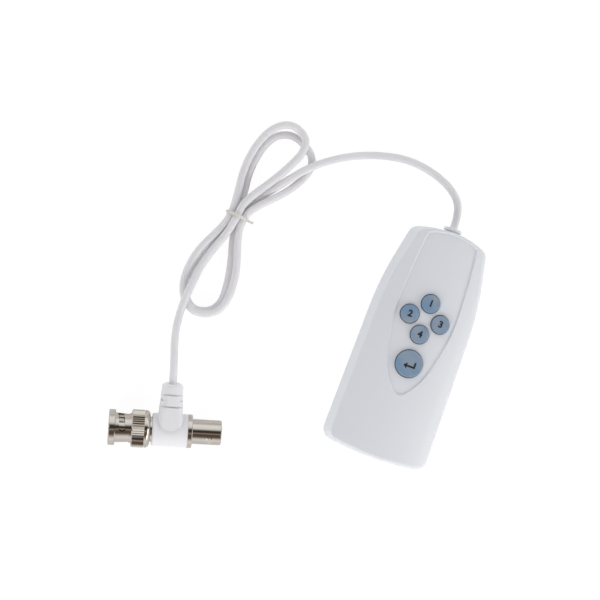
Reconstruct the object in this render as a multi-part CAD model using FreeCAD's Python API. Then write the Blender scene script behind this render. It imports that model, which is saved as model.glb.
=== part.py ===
# Hand-held menu controller for a security camera, on a white cord that ends in a
# bayonet coaxial tee: a plug with a turning sleeve at one end, a jack at the other.
# Millimetres. Z is up. The handset lies on its back with its length along Y and its
# cord end at +Y. The origin is under the middle of the handset.

import FreeCAD
import Part
import math
import os

from FreeCAD import Vector

os.makedirs("parts", exist_ok=True)

# Handset outline, seen from above
HANDSET_LENGTH = 93.3
HANDSET_THICKNESS = 21.0
HALF_WIDTH_SHOULDER = 20.5
HALF_WIDTH_HEAD = 15.7
SHOULDER_FROM_TOP = 26.3
FOOT_BULGE = 1.9
HEAD_BULGE = 3.05
FOOT_CORNER_RADIUS = 4.5
SHOULDER_RADIUS = 140.0
HEAD_CORNER_RADIUS = 4.2

# How far the walls lean in over the height of each shell: sides, head end, foot end
FRONT_LEAN = (3.0, 1.3, 1.0)
BACK_LEAN = (0.9, 0.6, 0.6)

# Handset section
WALL = 1.8
SEAM_HEIGHT = 9.0
CROWN_DROP = 4.5
FRONT_EDGE_RADIUS = 1.0
BACK_EDGE_RADIUS = 2.5
SEAM_GROOVE = 0.25
LIP_HEIGHT = 1.2
LIP_THICKNESS = 0.8
FIT_GAP = 0.1

# Keys and their sunk panel
KEY_CENTRE_FROM_TOP = 36.2
KEY_PITCH = 6.25
CONFIRM_BELOW_CENTRE = 18.15
KEY_DIAMETER = 7.1
CONFIRM_DIAMETER = 10.5
KEY_HOLE_GAP = 0.28
KEY_FLANGE_STEP = 0.65
KEY_FLANGE_THICKNESS = 0.8
KEY_PROUD = 1.4
KEY_TRAVEL = 0.4
PANEL_DEPTH = 0.65
PANEL_SLOPE = 0.4
PANEL_HEAD_FROM_KEYS = 34.0
PANEL_CORNER_RADIUS = 1.0
KEY_DECK_GAP = 0.3
KEY_SKIN = 1.2
KEY_WALL = 0.9
KEY_EDGE_RADIUS = 0.6
KEY_STEM_RADIUS = 1.6

# Tact switches
SWITCH_SIDE = 6.0
SWITCH_BODY_HEIGHT = 3.5
PLUNGER_DIAMETER = 3.5
PLUNGER_PROUD = 1.5
PLUNGER_DEPTH = 1.2
PIN_WIDTH = 0.7
PIN_THICKNESS = 0.2
PIN_SPREAD = 2.25
PIN_HEIGHT = 1.4

# Circuit board
BOARD_THICKNESS = 1.6
BOARD_TOP = 12.2
BOARD_SIDE_GAP = 1.6
BOARD_HEAD_GAP = 1.3
BOARD_END_GAP = 5.5
BOARD_BELOW_KEYS = 26.1

# Parts on the board
CHIP_ABOVE_KEYS = 10.0
CHIP_HALF_LENGTH = 6.4
CHIP_HALF_WIDTH = 3.75
CHIP_HEIGHT = 2.5
CHIP_STAND_OFF = 0.2
LEAD_REACH = 5.1
LEAD_WIDTH = 0.4
LEAD_PITCH = 1.27
LEADS_A_SIDE = 10
CRYSTAL_BELOW_KEYS = 4.0
CRYSTAL_HALF_LENGTH = 3.2
CRYSTAL_RADIUS = 2.3
CRYSTAL_HEIGHT = 3.5
CAPACITOR_ABOVE_KEYS = 18.0
CAPACITOR_ACROSS = 8.5
CAPACITOR_RADIUS = 2.5
CAPACITOR_HEIGHT = 5.2
WAIST_DEPTH = 0.3
WAIST_WIDTH = 0.5
WAIST_HEIGHT = 1.0
RESISTOR_ACROSS = 11.5
RESISTOR_BELOW_KEYS = 10.0
RESISTOR_PITCH = 3.5
RESISTORS_A_SIDE = 4
RESISTOR_LENGTH = 2.0
RESISTOR_WIDTH = 1.2
RESISTOR_HEIGHT = 0.6

# Case screws
SCREW_DIAMETER = 2.0
SCREW_HEAD_DIAMETER = 3.8
SCREW_HEAD_HEIGHT = 1.5
SCREW_LENGTH = 13.0
SCREW_HEAD_SEAT = 3.9
POST_RADIUS = 3.2
BOSS_RADIUS = 2.6
LOWER_POST_X = 14.2
LOWER_POST_BELOW_KEYS = 20.1
UPPER_POST_X = 11.8
UPPER_POST_FROM_TOP = 13.3

# Battery and its bay
CELL_DIAMETER = 10.3
CELL_LENGTH = 28.5
CELL_NUB_LENGTH = 0.9
CELL_FROM_FOOT = 14.0
CELL_GAP = 0.3
BAY_WALL = 1.0
BAY_END_ROOM = 3.35
BAY_SIDE_ROOM = 2.0
CONTACT_THICKNESS = 0.3
CONTACT_HALF_SIDE = 4.0
TAB_BELOW_BOARD = 1.2
TAB_ABOVE_BOTTOM = 0.8
CONTACT_DIMPLE = 0.8
SPRING_RADIUS = 2.7
SPRING_WIRE = 0.6
SPRING_TURNS = 5
SPRING_CORNERS = 8

# Battery door
DOOR_HALF_WIDTH = 15.5
DOOR_LENGTH = 24.0
DOOR_LIFT = 0.2
DOOR_THICKNESS = 1.5
TONGUE_WIDTH = 0.9
TONGUE_THICKNESS = 0.7
GRIPS = 4
GRIPS_FROM_END = 8.0
GRIP_PITCH = 1.6
GRIP_WIDTH = 0.8
GRIP_HALF_LENGTH = 6.0
GRIP_DEPTH = 0.35

# Cord, grommet and tie
CORD_DIAMETER = 3.0
WIRE_DIAMETER = 0.8
GROMMET_RADIUS = 3.6
GROMMET_FLANGE = 1.2
GROMMET_NECK_RADIUS = 2.5
GROMMET_STAND_OFF = 0.3
GROMMET_PLAY = 0.5
HANK_THICKNESS = 6.2
BUNDLE_RADIUS = 4.05
BUNDLE_LENGTH = 10.0
TIE_X = -80.95
TIE_Y = 23.6
TIE_THICKNESS = 0.75
TIE_WIDTH = 1.5

# Coaxial tee, in its own frame: X runs from the plug's mouth to the jack's mouth,
# Y runs up the boot, and the axis of the metal parts is the X axis.
TEE_X = -99.4
TEE_Y = -70.2
TEE_YAW = 16.6
TEE_PITCH = 2.3
TEE_ROLL = 10.0
SLEEVE_RIM_RADIUS = 6.95
SLEEVE_NECK_RADIUS = 5.75
SLEEVE_WAIST_RADIUS = 5.4
SLEEVE_COLLAR_RADIUS = 5.8
SLEEVE_COLLAR_WIDTH = 0.7
SLEEVE_KNURL_RADIUS = 7.3
SLEEVE_BORE_GAP = 0.15
RIM_END = 2.6
NECK_END = 8.8
KNURL_END = 13.7
SLEEVE_END = 15.95
KNURL_RIDGES = 48
KNURL_DEPTH = 0.32
FLANGE_RADIUS = 5.9
SHANK_RADIUS = 4.87
FINGER_RADIUS = 4.05
FINGER_WALL = 0.5
SLOT_WIDTH = 2.3
SLOT_START_TURN = -1.0
SLOT_TURN = 80.0
SLOT_START = 4.6
SLOT_SEAT = 5.3
SLOT_STEPS = 8
LUG_RADIUS = 1.1
LUG_TIP_RADIUS = 5.5
LUG_TURN = 115.0
LUG_FROM_END = 4.5
HOUSING_START = 16.72
HOUSING_END = 30.38
HOUSING_RADIUS = 6.45
JACK_FLANGE_END = 32.15
JACK_END = 43.46
JACK_RADIUS = 4.8
JACK_BORE_RADIUS = 4.15
PIN_RADIUS = 0.68
BOOT_LENGTH = 18.4
BOOT_HALF_WIDTH_FOOT = 4.9
BOOT_HALF_WIDTH_TOP = 4.0
BOOT_HALF_DEPTH_FOOT = 7.2
BOOT_CORNER_FOOT = 1.3
BOOT_CORNER_TOP = 3.9
BOOT_END_RADIUS = 1.3
CORD_RUN_TO_BOOT = 7.0
BOOT_ROOT_STRETCH = 1.25
GROOVE_WIDTH = 0.7
GROOVE_DEPTH = 0.55
GROOVE_PITCH = 2.25
GROOVE_BRIDGE = 0.9
FIRST_GROOVE_FROM_TOP = 3.7

# Stations of the pieces inside the tee, along its axis
FINGER_START = 3.4
GASKET_START = 10.6
FLANGE_START = 11.6
FLANGE_END = 12.6
LIP_START = 14.2
LIP_END = 15.1
RING_START = 15.2
RING_END = 15.75
RING_RADIUS = 5.2
RING_GROOVE_DEPTH = 0.5
SHANK_END = 18.5
WASHER_THICKNESS = 0.5
WAVE_HEIGHT = 0.95
WAVE_THICKNESS = 0.3
INSULATOR_START = 6.5
PIN_START = 2.6
PIN_TAIL = 0.6
SOCKET_RADIUS = 1.1
LINK_WALL = 0.4
JACK_TAIL = 2.4
CORD_WINDOW_RADIUS = 1.6

# Clearances: turning and sliding fits, seats, and the play round fixed pieces
RUNNING_GAP = 0.08
SEAT_GAP = 0.02
LOOSE_GAP = 0.2

# The uncoiled stretches of the cord, as chosen along the table
LEAD_ROUTE = [
    (0, 55.8, 9.0),
    (-4.6, 62.2, 7.3),
    (-13.2, 66.6, 4.4),
    (-24.6, 68.6, 2.2),
    (-36.4, 66.3, 1.6),
    (-47.6, 61.6, 2.4),
    (-57.4, 54.7, 4.6),
    (-62.6, 49.6, 4.7),
]
TAIL_ROUTE = [
    (-88.6, -9.5, 6.6),
    (-89.0, -18.0, 7.6),
    (-87.9, -28.0, 9.4),
]

# The sunk panel's right edge, from its head corner to its tip, measured from the keys
PANEL_EDGE = [
    (9.8, 31.9), (10.7, 24.5), (11.5, 13.4), (11.8, 6.4), (11.6, -1.6),
    (10.7, -8.6), (9.3, -15.1), (7.5, -20.9), (4.4, -26.9), (0, -30.6),
]

# Outlines of the tied hank, seen from above
HANK_OUTLINE = [
    (-76.7, 23.6), (-73.8, 30.0), (-67.7, 36.3), (-63.1, 40.9), (-60.0, 46.8),
    (-59.6, 53.2), (-63.6, 59.6), (-67.8, 65.0), (-72.5, 66.3), (-79.6, 62.9),
    (-84.8, 54.2), (-86.4, 43.0), (-85.9, 33.5), (-85.2, 23.6), (-88.6, 13.6),
    (-92.7, 2.3), (-93.9, -5.7), (-90.8, -14.1), (-82.9, -18.4), (-75.6, -15.9),
    (-71.6, -9.0), (-71.8, 0.0), (-75.0, 10.8), (-76.8, 18.5),
]
UPPER_EYE = [
    (-79.9, 36.5), (-76.0, 40.0), (-70.1, 48.4), (-67.4, 55.0), (-69.8, 59.0),
    (-75.6, 57.8), (-79.7, 51.9), (-80.6, 43.5),
]
LOWER_EYE = [
    (-81.9, 12.6), (-84.4, 9.4), (-86.2, 2.6), (-87.2, -9.5), (-86.0, -13.7),
    (-81.4, -14.5), (-76.8, -8.5), (-76.4, -1.0), (-78.9, 8.0),
]

# Heights and stations that follow from the sizes above
FOOT_Y = -HANDSET_LENGTH / 2
TOP_Y = HANDSET_LENGTH / 2
KEY_CENTRE_Y = TOP_Y - KEY_CENTRE_FROM_TOP
BOARD_START_Y = KEY_CENTRE_Y - BOARD_BELOW_KEYS
BAY_HALF_WIDTH = CELL_LENGTH / 2 + BAY_END_ROOM
HALF_WIDTH_FOOT = BAY_HALF_WIDTH + BAY_SIDE_ROOM + WALL
CELL_Y = FOOT_Y + CELL_FROM_FOOT
CELL_Z = DOOR_LIFT + DOOR_THICKNESS + CELL_GAP + LOOSE_GAP + CELL_DIAMETER / 2
BOARD_BOTTOM = BOARD_TOP - BOARD_THICKNESS
SWITCH_TOP = BOARD_TOP + SWITCH_BODY_HEIGHT
PLUNGER_TOP = SWITCH_TOP + PLUNGER_PROUD
CROWN_RADIUS = (HALF_WIDTH_FOOT ** 2 + CROWN_DROP ** 2) / (2 * CROWN_DROP)
PANEL_TOP = HANDSET_THICKNESS - PANEL_DEPTH
DECK_HEIGHT = PLUNGER_TOP + KEY_FLANGE_THICKNESS + KEY_DECK_GAP
CORD_HEIGHT = SEAM_HEIGHT
CORD_START = Vector(0, TOP_Y + GROMMET_STAND_OFF + GROMMET_FLANGE, CORD_HEIGHT)
HOUSING_MIDDLE = (HOUSING_START + HOUSING_END) / 2
PLUG_BORE = FINGER_RADIUS - FINGER_WALL
LINK_RADIUS = PLUG_BORE + LINK_WALL
JACK_TAIL_START = HOUSING_END - JACK_TAIL
SOCKET_START = JACK_TAIL_START - PIN_TAIL
KEY_PLACES = {
    "top": Vector(0, KEY_CENTRE_Y + KEY_PITCH, 0),
    "left": Vector(-KEY_PITCH, KEY_CENTRE_Y, 0),
    "right": Vector(KEY_PITCH, KEY_CENTRE_Y, 0),
    "bottom": Vector(0, KEY_CENTRE_Y - KEY_PITCH, 0),
    "confirm": Vector(0, KEY_CENTRE_Y - CONFIRM_BELOW_CENTRE, 0),
}
POST_PLACES = [
    Vector(side * across, along, 0)
    for across, along in (
        (LOWER_POST_X, KEY_CENTRE_Y - LOWER_POST_BELOW_KEYS),
        (UPPER_POST_X, TOP_Y - UPPER_POST_FROM_TOP),
    )
    for side in (-1, 1)
]

X_AXIS = Vector(1, 0, 0)
Y_AXIS = Vector(0, 1, 0)
Z_AXIS = Vector(0, 0, 1)


def block(x0, x1, y0, y1, z0, z1):
    return Part.makeBox(x1 - x0, y1 - y0, z1 - z0, Vector(x0, y0, z0))


def rod(radius, start, length, axis):
    return Part.makeCylinder(radius, length, start, axis)


def turned(profile):
    # A solid turned about the X axis, from (x, radius) corners.
    corners = [Vector(x, radius, 0) for x, radius in profile]
    face = Part.Face(Part.makePolygon(corners + corners[:1]))
    return face.revolve(Vector(0, 0, 0), X_AXIS, 360)


def joined(shapes):
    first, *others = shapes
    return first.fuse(others) if others else first


def round_upright(solid, places, radius):
    # Rounds the upright edges that stand at the given places.
    edges = [
        edge
        for edge in solid.Edges
        for place in places
        if abs(edge.tangentAt(edge.FirstParameter).z) > 0.99
        and (edge.CenterOfMass - Vector(place.x, place.y, edge.CenterOfMass.z)).Length < 0.01
    ]
    return solid.makeFillet(radius, edges)


def bend(before, corner, after, radius):
    # The arc that rounds a corner between two straight sides, kept within half of each side.
    back = (before - corner).normalize()
    onward = (after - corner).normalize()
    half_turn = (math.pi - back.getAngle(onward)) / 2
    longest = min((before - corner).Length, (after - corner).Length) / 2
    reach = min(radius * math.tan(half_turn), longest)
    rise = reach * (1 - math.cos(half_turn)) / math.sin(half_turn)
    inward = (back + onward).normalize()
    return corner + back * reach, corner + inward * rise, corner + onward * reach


def plan_outline(side_inset, head_inset, foot_inset):
    # The handset's outline: a bulged foot, tapered sides, a bent shoulder, a bulged head.
    foot_y = FOOT_Y + foot_inset
    top_y = TOP_Y - head_inset
    foot = Vector(HALF_WIDTH_FOOT - side_inset, foot_y + FOOT_BULGE, 0)
    shoulder = Vector(HALF_WIDTH_SHOULDER - side_inset, TOP_Y - SHOULDER_FROM_TOP, 0)
    head = Vector(HALF_WIDTH_HEAD - side_inset, top_y - HEAD_BULGE, 0)
    right = bend(foot, shoulder, head, SHOULDER_RADIUS)
    left = [Vector(-point.x, point.y, 0) for point in right]
    left_foot = Vector(-foot.x, foot.y, 0)
    left_head = Vector(-head.x, head.y, 0)
    edges = [
        Part.Arc(left_foot, Vector(0, foot_y, 0), foot).toShape(),
        Part.LineSegment(foot, right[0]).toShape(),
        Part.Arc(*right).toShape(),
        Part.LineSegment(right[2], head).toShape(),
        Part.Arc(head, Vector(0, top_y, 0), left_head).toShape(),
        Part.LineSegment(left_head, left[2]).toShape(),
        Part.Arc(left[2], left[1], left[0]).toShape(),
        Part.LineSegment(left[0], left_foot).toShape(),
    ]
    prism = Part.Face(Part.Wire(edges)).extrude(Z_AXIS)
    prism = round_upright(prism, [foot, left_foot], FOOT_CORNER_RADIUS)
    prism = round_upright(prism, [head, left_head], HEAD_CORNER_RADIUS)
    floor = min(prism.Faces, key=lambda face: face.CenterOfMass.z)
    return floor.OuterWire


PLAN_WIRE = plan_outline(0, 0, 0)


def plan_prism(inset, z0, z1):
    wire = PLAN_WIRE.makeOffset2D(-inset) if inset else PLAN_WIRE.copy()
    prism = Part.Face(wire).extrude(Vector(0, 0, z1 - z0))
    prism.translate(Vector(0, 0, z0))
    return prism


def leaning_walls(inset):
    # The space inside the side walls, widest at the seam, at an inset from the outside.
    seam, back, front = (
        plan_outline(*(inset + lean for lean in leans)).translated(Vector(0, 0, height))
        for leans, height in (
            ((0, 0, 0), SEAM_HEIGHT), (BACK_LEAN, 0), (FRONT_LEAN, HANDSET_THICKNESS + 1))
    )
    return Part.makeLoft([back, seam], True, True).fuse(Part.makeLoft([seam, front], True, True))


def crown(sink):
    # The wide cylinder whose top is the handset's crowned front, sunk by a depth.
    length = 2 * HANDSET_LENGTH
    centre = Vector(0, -length / 2, HANDSET_THICKNESS - CROWN_RADIUS)
    drum = rod(CROWN_RADIUS - sink, centre, length, Y_AXIS)
    drum.rotate(centre, Y_AXIS, 180)
    return drum


def handset_body():
    # The closed outer form of both shells, crowned in front and rounded all round.
    body = leaning_walls(0).common(crown(0))
    front = [edge for edge in body.Edges if edge.BoundBox.ZMin > HANDSET_THICKNESS / 2]
    body = body.makeFillet(FRONT_EDGE_RADIUS, front)
    back = [edge for edge in body.Edges if edge.BoundBox.ZMax < 0.01]
    return body.makeFillet(BACK_EDGE_RADIUS, back)


def cavity():
    # The hollow inside both shells, with a flat deck over the key flanges.
    between = block(-60, 60, -80, 80, WALL, DECK_HEIGHT)
    return leaning_walls(WALL).common(between).common(crown(WALL))


def lip_ring(gap, z0):
    # The tongue of the front shell that enters the rear shell at the seam.
    outer = plan_prism(WALL - LIP_THICKNESS - gap, z0, SEAM_HEIGHT)
    return outer.cut(plan_prism(WALL + gap, z0, SEAM_HEIGHT))


def seam_groove():
    # The shadow line where the two shells meet.
    band = plan_prism(-1, SEAM_HEIGHT - SEAM_GROOVE, SEAM_HEIGHT + SEAM_GROOVE)
    return band.cut(plan_prism(SEAM_GROOVE, SEAM_HEIGHT - 1, SEAM_HEIGHT + 1))


def panel_prism():
    # The sunk key panel: a rounded head that tapers to a round point at the foot.
    right = [Vector(x, KEY_CENTRE_Y + y, 0) for x, y in PANEL_EDGE]
    left = [Vector(-point.x, point.y, 0) for point in right]
    head_middle = Vector(0, KEY_CENTRE_Y + PANEL_HEAD_FROM_KEYS, 0)
    head = Part.Arc(left[0], head_middle, right[0]).toShape()
    flank = Part.BSplineCurve()
    flank.interpolate(right + left[-2::-1])
    prism = Part.Face(Part.Wire([head, flank.toShape()])).extrude(Vector(0, 0, HANDSET_THICKNESS))
    prism = round_upright(prism, [right[0], left[0]], PANEL_CORNER_RADIUS)
    prism.translate(Vector(0, 0, HANDSET_THICKNESS / 2))
    return prism


def panel_rim(shell, prism):
    # The edges where the crowned front meets the sunk panel's walls.
    axis_height = HANDSET_THICKNESS - CROWN_RADIUS
    rim = []
    for edge in shell.Edges:
        middle = edge.valueAt((edge.FirstParameter + edge.LastParameter) / 2)
        if abs(math.hypot(middle.x, middle.z - axis_height) - CROWN_RADIUS) < 0.01:
            if min(face.distToShape(Part.Vertex(middle))[0] for face in prism.Faces) < 0.01:
                rim.append(edge)
    return rim


def key_radius(name):
    return (CONFIRM_DIAMETER if name == "confirm" else KEY_DIAMETER) / 2


def front_shell(body, hollow):
    upper = block(-60, 60, -80, 80, SEAM_HEIGHT, 40)
    shell = body.common(upper).cut(hollow)
    bosses = [
        rod(BOSS_RADIUS, place + Vector(0, 0, BOARD_TOP), DECK_HEIGHT - BOARD_TOP + 0.3, Z_AXIS)
        for place in POST_PLACES
    ]
    bosses = joined(bosses).common(crown(WALL / 2))
    shell = joined([shell, lip_ring(0, SEAM_HEIGHT - LIP_HEIGHT), bosses])
    prism = panel_prism()
    cutters = [prism.cut(crown(PANEL_DEPTH)), seam_groove(), grommet_hole()]
    for name, place in KEY_PLACES.items():
        foot = place + Vector(0, 0, DECK_HEIGHT - 1)
        cutters.append(rod(key_radius(name) + KEY_HOLE_GAP, foot, 10, Z_AXIS))
    pilot_length = SCREW_HEAD_SEAT + SCREW_LENGTH - BOARD_TOP + 0.5
    for place in POST_PLACES:
        foot = place + Vector(0, 0, BOARD_TOP)
        cutters.append(rod(SCREW_DIAMETER / 2 + 0.05, foot, pilot_length, Z_AXIS))
    shell = shell.cut(cutters)
    return shell.makeChamfer(PANEL_SLOPE, panel_rim(shell, prism))


def grommet_hole():
    start = Vector(0, TOP_Y - 3 * WALL, CORD_HEIGHT)
    return rod(GROMMET_NECK_RADIUS + FIT_GAP, start, 6 * WALL, Y_AXIS)


def bay_limits():
    half_depth = CELL_DIAMETER / 2 + 0.6
    return CELL_Y - half_depth, CELL_Y + half_depth, CELL_Z + CELL_DIAMETER / 2 + CELL_GAP


def battery_bay():
    y0, y1, roof = bay_limits()
    outer_x = BAY_HALF_WIDTH + BAY_WALL
    outer = block(-outer_x, outer_x, y0 - BAY_WALL, y1 + BAY_WALL, WALL, roof + BAY_WALL)
    outer = outer.cut(block(-BAY_HALF_WIDTH, BAY_HALF_WIDTH, y0, y1, 0, roof))
    slots = [
        block(min(x0, x1), max(x0, x1), y1 - 0.1, y1 + BAY_WALL + 0.1, *tab_heights(FIT_GAP))
        for x0, x1 in (
            (side * (BAY_HALF_WIDTH - CONTACT_THICKNESS - 2 * FIT_GAP), side * BAY_HALF_WIDTH)
            for side in (-1, 1)
        )
    ]
    return outer.cut(slots)


def door_opening():
    side = DOOR_HALF_WIDTH + FIT_GAP
    end = FOOT_Y + DOOR_LENGTH + FIT_GAP
    opening = block(-side, side, FOOT_Y - 5, end, -1, DOOR_LIFT + DOOR_THICKNESS + FIT_GAP)
    groove_side = side + TONGUE_WIDTH
    low = tongue_foot() - FIT_GAP
    high = tongue_foot() + TONGUE_THICKNESS + FIT_GAP
    groove = block(-groove_side, groove_side, FOOT_Y - 5, end - 1, low, high)
    return opening.fuse(groove)


def tongue_foot():
    return DOOR_LIFT + DOOR_THICKNESS - TONGUE_THICKNESS


def rear_shell(body, hollow):
    lower = block(-60, 60, -80, 80, -1, SEAM_HEIGHT)
    shell = body.common(lower).cut(hollow)
    posts = [
        rod(POST_RADIUS, place + Vector(0, 0, WALL - 0.3), BOARD_BOTTOM - WALL + 0.3, Z_AXIS)
        for place in POST_PLACES
    ]
    rail_inner = DOOR_HALF_WIDTH + FIT_GAP
    rails = [
        block(x0, x1, FOOT_Y + WALL, FOOT_Y + DOOR_LENGTH, WALL, WALL + 1.0)
        for x0, x1 in ((-BAY_HALF_WIDTH, -rail_inner), (rail_inner, BAY_HALF_WIDTH))
    ]
    shell = joined([shell] + posts + rails)
    cutters = [door_opening(), lip_ring(FIT_GAP, SEAM_HEIGHT - LIP_HEIGHT - FIT_GAP)]
    cutters += [seam_groove(), grommet_hole()]
    for place in POST_PLACES:
        below = place - Vector(0, 0, 1)
        cutters.append(rod(SCREW_HEAD_DIAMETER / 2 + LOOSE_GAP, below, 1 + SCREW_HEAD_SEAT, Z_AXIS))
        cutters.append(rod(SCREW_DIAMETER / 2 + FIT_GAP, place, BOARD_TOP, Z_AXIS))
    shell = shell.cut(cutters)
    return shell.fuse(battery_bay()).cut(door_opening())


def battery_door(body):
    y_end = FOOT_Y + DOOR_LENGTH
    top = DOOR_LIFT + DOOR_THICKNESS
    plate = body.common(block(-DOOR_HALF_WIDTH, DOOR_HALF_WIDTH, FOOT_Y - 1, y_end, DOOR_LIFT, top))
    reach = DOOR_HALF_WIDTH + TONGUE_WIDTH
    tongues = block(-reach, reach, FOOT_Y + 4, y_end - 1.5, tongue_foot(), top)
    door = plate.fuse(tongues)
    grip_starts = [y_end - GRIPS_FROM_END + GRIP_PITCH * index for index in range(GRIPS)]
    grips = [
        block(-GRIP_HALF_LENGTH, GRIP_HALF_LENGTH, y, y + GRIP_WIDTH, 0, DOOR_LIFT + GRIP_DEPTH)
        for y in grip_starts
    ]
    return door.cut(grips)


def circuit_board():
    y0 = BOARD_START_Y
    y2 = TOP_Y - WALL - BOARD_END_GAP
    y1 = TOP_Y - SHOULDER_FROM_TOP
    half = HALF_WIDTH_SHOULDER - WALL - BOARD_SIDE_GAP
    half_head = HALF_WIDTH_HEAD - WALL - BOARD_HEAD_GAP
    corners = [Vector(x, y, BOARD_BOTTOM) for x, y in (
        (-half, y0), (half, y0), (half, y1), (half_head, y2), (-half_head, y2), (-half, y1))]
    board = Part.Face(Part.makePolygon(corners + corners[:1])).extrude(Vector(0, 0, BOARD_THICKNESS))
    holes = [
        rod(SCREW_DIAMETER / 2 + 0.2, place + Vector(0, 0, BOARD_BOTTOM - 1), 5, Z_AXIS)
        for place in POST_PLACES
    ]
    return board.cut(holes)


def key_cap(name):
    radius = key_radius(name)
    place = KEY_PLACES[name]
    panel_here = PANEL_TOP - place.x ** 2 / (2 * CROWN_RADIUS)
    foot = place + Vector(0, 0, PLUNGER_TOP)
    height = panel_here + KEY_PROUD - PLUNGER_TOP
    cap = rod(radius, foot, height, Z_AXIS)
    rim = [edge for edge in cap.Edges if edge.BoundBox.ZMin > PLUNGER_TOP + height - 0.01]
    cap = cap.makeFillet(KEY_EDGE_RADIUS, rim)
    cap = cap.fuse(rod(radius + KEY_FLANGE_STEP, foot, KEY_FLANGE_THICKNESS, Z_AXIS))
    hollow = rod(radius - KEY_WALL, foot, height - KEY_SKIN, Z_AXIS)
    stem = rod(KEY_STEM_RADIUS, foot, height, Z_AXIS)
    return cap.cut(hollow.cut(stem))


def switch_body(place):
    half = SWITCH_SIDE / 2
    body = block(-half, half, -half, half, BOARD_TOP, SWITCH_TOP)
    bore = rod(PLUNGER_DIAMETER / 2 + FIT_GAP, Vector(0, 0, SWITCH_TOP - PLUNGER_DEPTH - KEY_TRAVEL - 0.2),
               10, Z_AXIS)
    body = body.cut(bore)
    body.translate(place)
    return body


def switch_plunger(place):
    foot = place + Vector(0, 0, SWITCH_TOP - PLUNGER_DEPTH)
    return rod(PLUNGER_DIAMETER / 2, foot, PLUNGER_DEPTH + PLUNGER_PROUD, Z_AXIS)


def switch_pins():
    # Four bent pins at each switch, against its sides and down through the board's top.
    pins = []
    for place in KEY_PLACES.values():
        for side in (-1, 1):
            for end in (-1, 1):
                x0 = place.x + side * (SWITCH_SIDE / 2 + PIN_THICKNESS / 2) - PIN_THICKNESS / 2
                y0 = place.y + end * PIN_SPREAD - PIN_WIDTH / 2
                pins.append(block(x0, x0 + PIN_THICKNESS, y0, y0 + PIN_WIDTH,
                                  BOARD_TOP, BOARD_TOP + PIN_HEIGHT))
    return Part.makeCompound(pins)


def controller_chip():
    # A wide flat package with leads, under the board.
    y = KEY_CENTRE_Y + CHIP_ABOVE_KEYS
    foot = BOARD_BOTTOM - CHIP_STAND_OFF
    body = block(-CHIP_HALF_LENGTH, CHIP_HALF_LENGTH, y - CHIP_HALF_WIDTH, y + CHIP_HALF_WIDTH,
                 BOARD_BOTTOM - CHIP_HEIGHT, foot)
    first = -LEAD_PITCH * (LEADS_A_SIDE - 1) / 2
    leads = [
        block(x - LEAD_WIDTH / 2, x + LEAD_WIDTH / 2, y - LEAD_REACH, y + LEAD_REACH, foot, BOARD_BOTTOM)
        for x in (first + LEAD_PITCH * index for index in range(LEADS_A_SIDE))
    ]
    return joined([body] + leads)


def crystal():
    # A long can with round ends, under the board.
    y = KEY_CENTRE_Y - CRYSTAL_BELOW_KEYS
    z0 = BOARD_BOTTOM - CRYSTAL_HEIGHT
    can = block(-CRYSTAL_HALF_LENGTH, CRYSTAL_HALF_LENGTH, y - CRYSTAL_RADIUS, y + CRYSTAL_RADIUS,
                z0, BOARD_BOTTOM)
    ends = [
        rod(CRYSTAL_RADIUS, Vector(side * CRYSTAL_HALF_LENGTH, y, z0), CRYSTAL_HEIGHT, Z_AXIS)
        for side in (-1, 1)
    ]
    return joined([can] + ends)


def capacitor(side):
    # An upright capacitor with a waist near its foot.
    foot = Vector(side * CAPACITOR_ACROSS, KEY_CENTRE_Y + CAPACITOR_ABOVE_KEYS, BOARD_TOP)
    waist = foot + Vector(0, 0, WAIST_HEIGHT)
    can = rod(CAPACITOR_RADIUS, foot, CAPACITOR_HEIGHT, Z_AXIS)
    groove = rod(CAPACITOR_RADIUS + 1, waist, WAIST_WIDTH, Z_AXIS)
    core = rod(CAPACITOR_RADIUS - WAIST_DEPTH, waist, WAIST_WIDTH, Z_AXIS)
    return can.cut(groove.cut(core))


def resistors():
    first = KEY_CENTRE_Y - RESISTOR_BELOW_KEYS
    chips = []
    for side in (-1, 1):
        for index in range(RESISTORS_A_SIDE):
            x = side * RESISTOR_ACROSS - RESISTOR_LENGTH / 2
            y = first + index * RESISTOR_PITCH - RESISTOR_WIDTH / 2
            chips.append(block(x, x + RESISTOR_LENGTH, y, y + RESISTOR_WIDTH,
                               BOARD_BOTTOM - RESISTOR_HEIGHT, BOARD_BOTTOM))
    return Part.makeCompound(chips)


def case_screw(place):
    seat = place + Vector(0, 0, SCREW_HEAD_SEAT)
    head = rod(SCREW_HEAD_DIAMETER / 2, seat - Vector(0, 0, SCREW_HEAD_HEIGHT), SCREW_HEAD_HEIGHT, Z_AXIS)
    shank = rod(SCREW_DIAMETER / 2, seat, SCREW_LENGTH, Z_AXIS)
    floor = SCREW_HEAD_SEAT - SCREW_HEAD_HEIGHT
    cross = [
        block(place.x - a, place.x + a, place.y - b, place.y + b, floor - 1, floor + 0.7)
        for a, b in ((1.2, 0.25), (0.25, 1.2))
    ]
    return head.fuse(shank).cut(cross)


def cell_ends():
    # Where the cell's nub and its flat end stand along X.
    nub = -(BAY_HALF_WIDTH - FIT_GAP - CONTACT_THICKNESS - CONTACT_DIMPLE)
    return nub, nub + CELL_LENGTH


def battery_cell():
    nub = cell_ends()[0]
    can = rod(CELL_DIAMETER / 2, Vector(nub + CELL_NUB_LENGTH, CELL_Y, CELL_Z),
              CELL_LENGTH - CELL_NUB_LENGTH, X_AXIS)
    can = can.makeFillet(0.6, can.Edges)
    return can.fuse(rod(1.6, Vector(nub, CELL_Y, CELL_Z), CELL_NUB_LENGTH + 0.5, X_AXIS))


def tab_heights(gap):
    return BOARD_BOTTOM - TAB_BELOW_BOARD - gap, BOARD_BOTTOM + TAB_ABOVE_BOTTOM + gap


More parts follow.
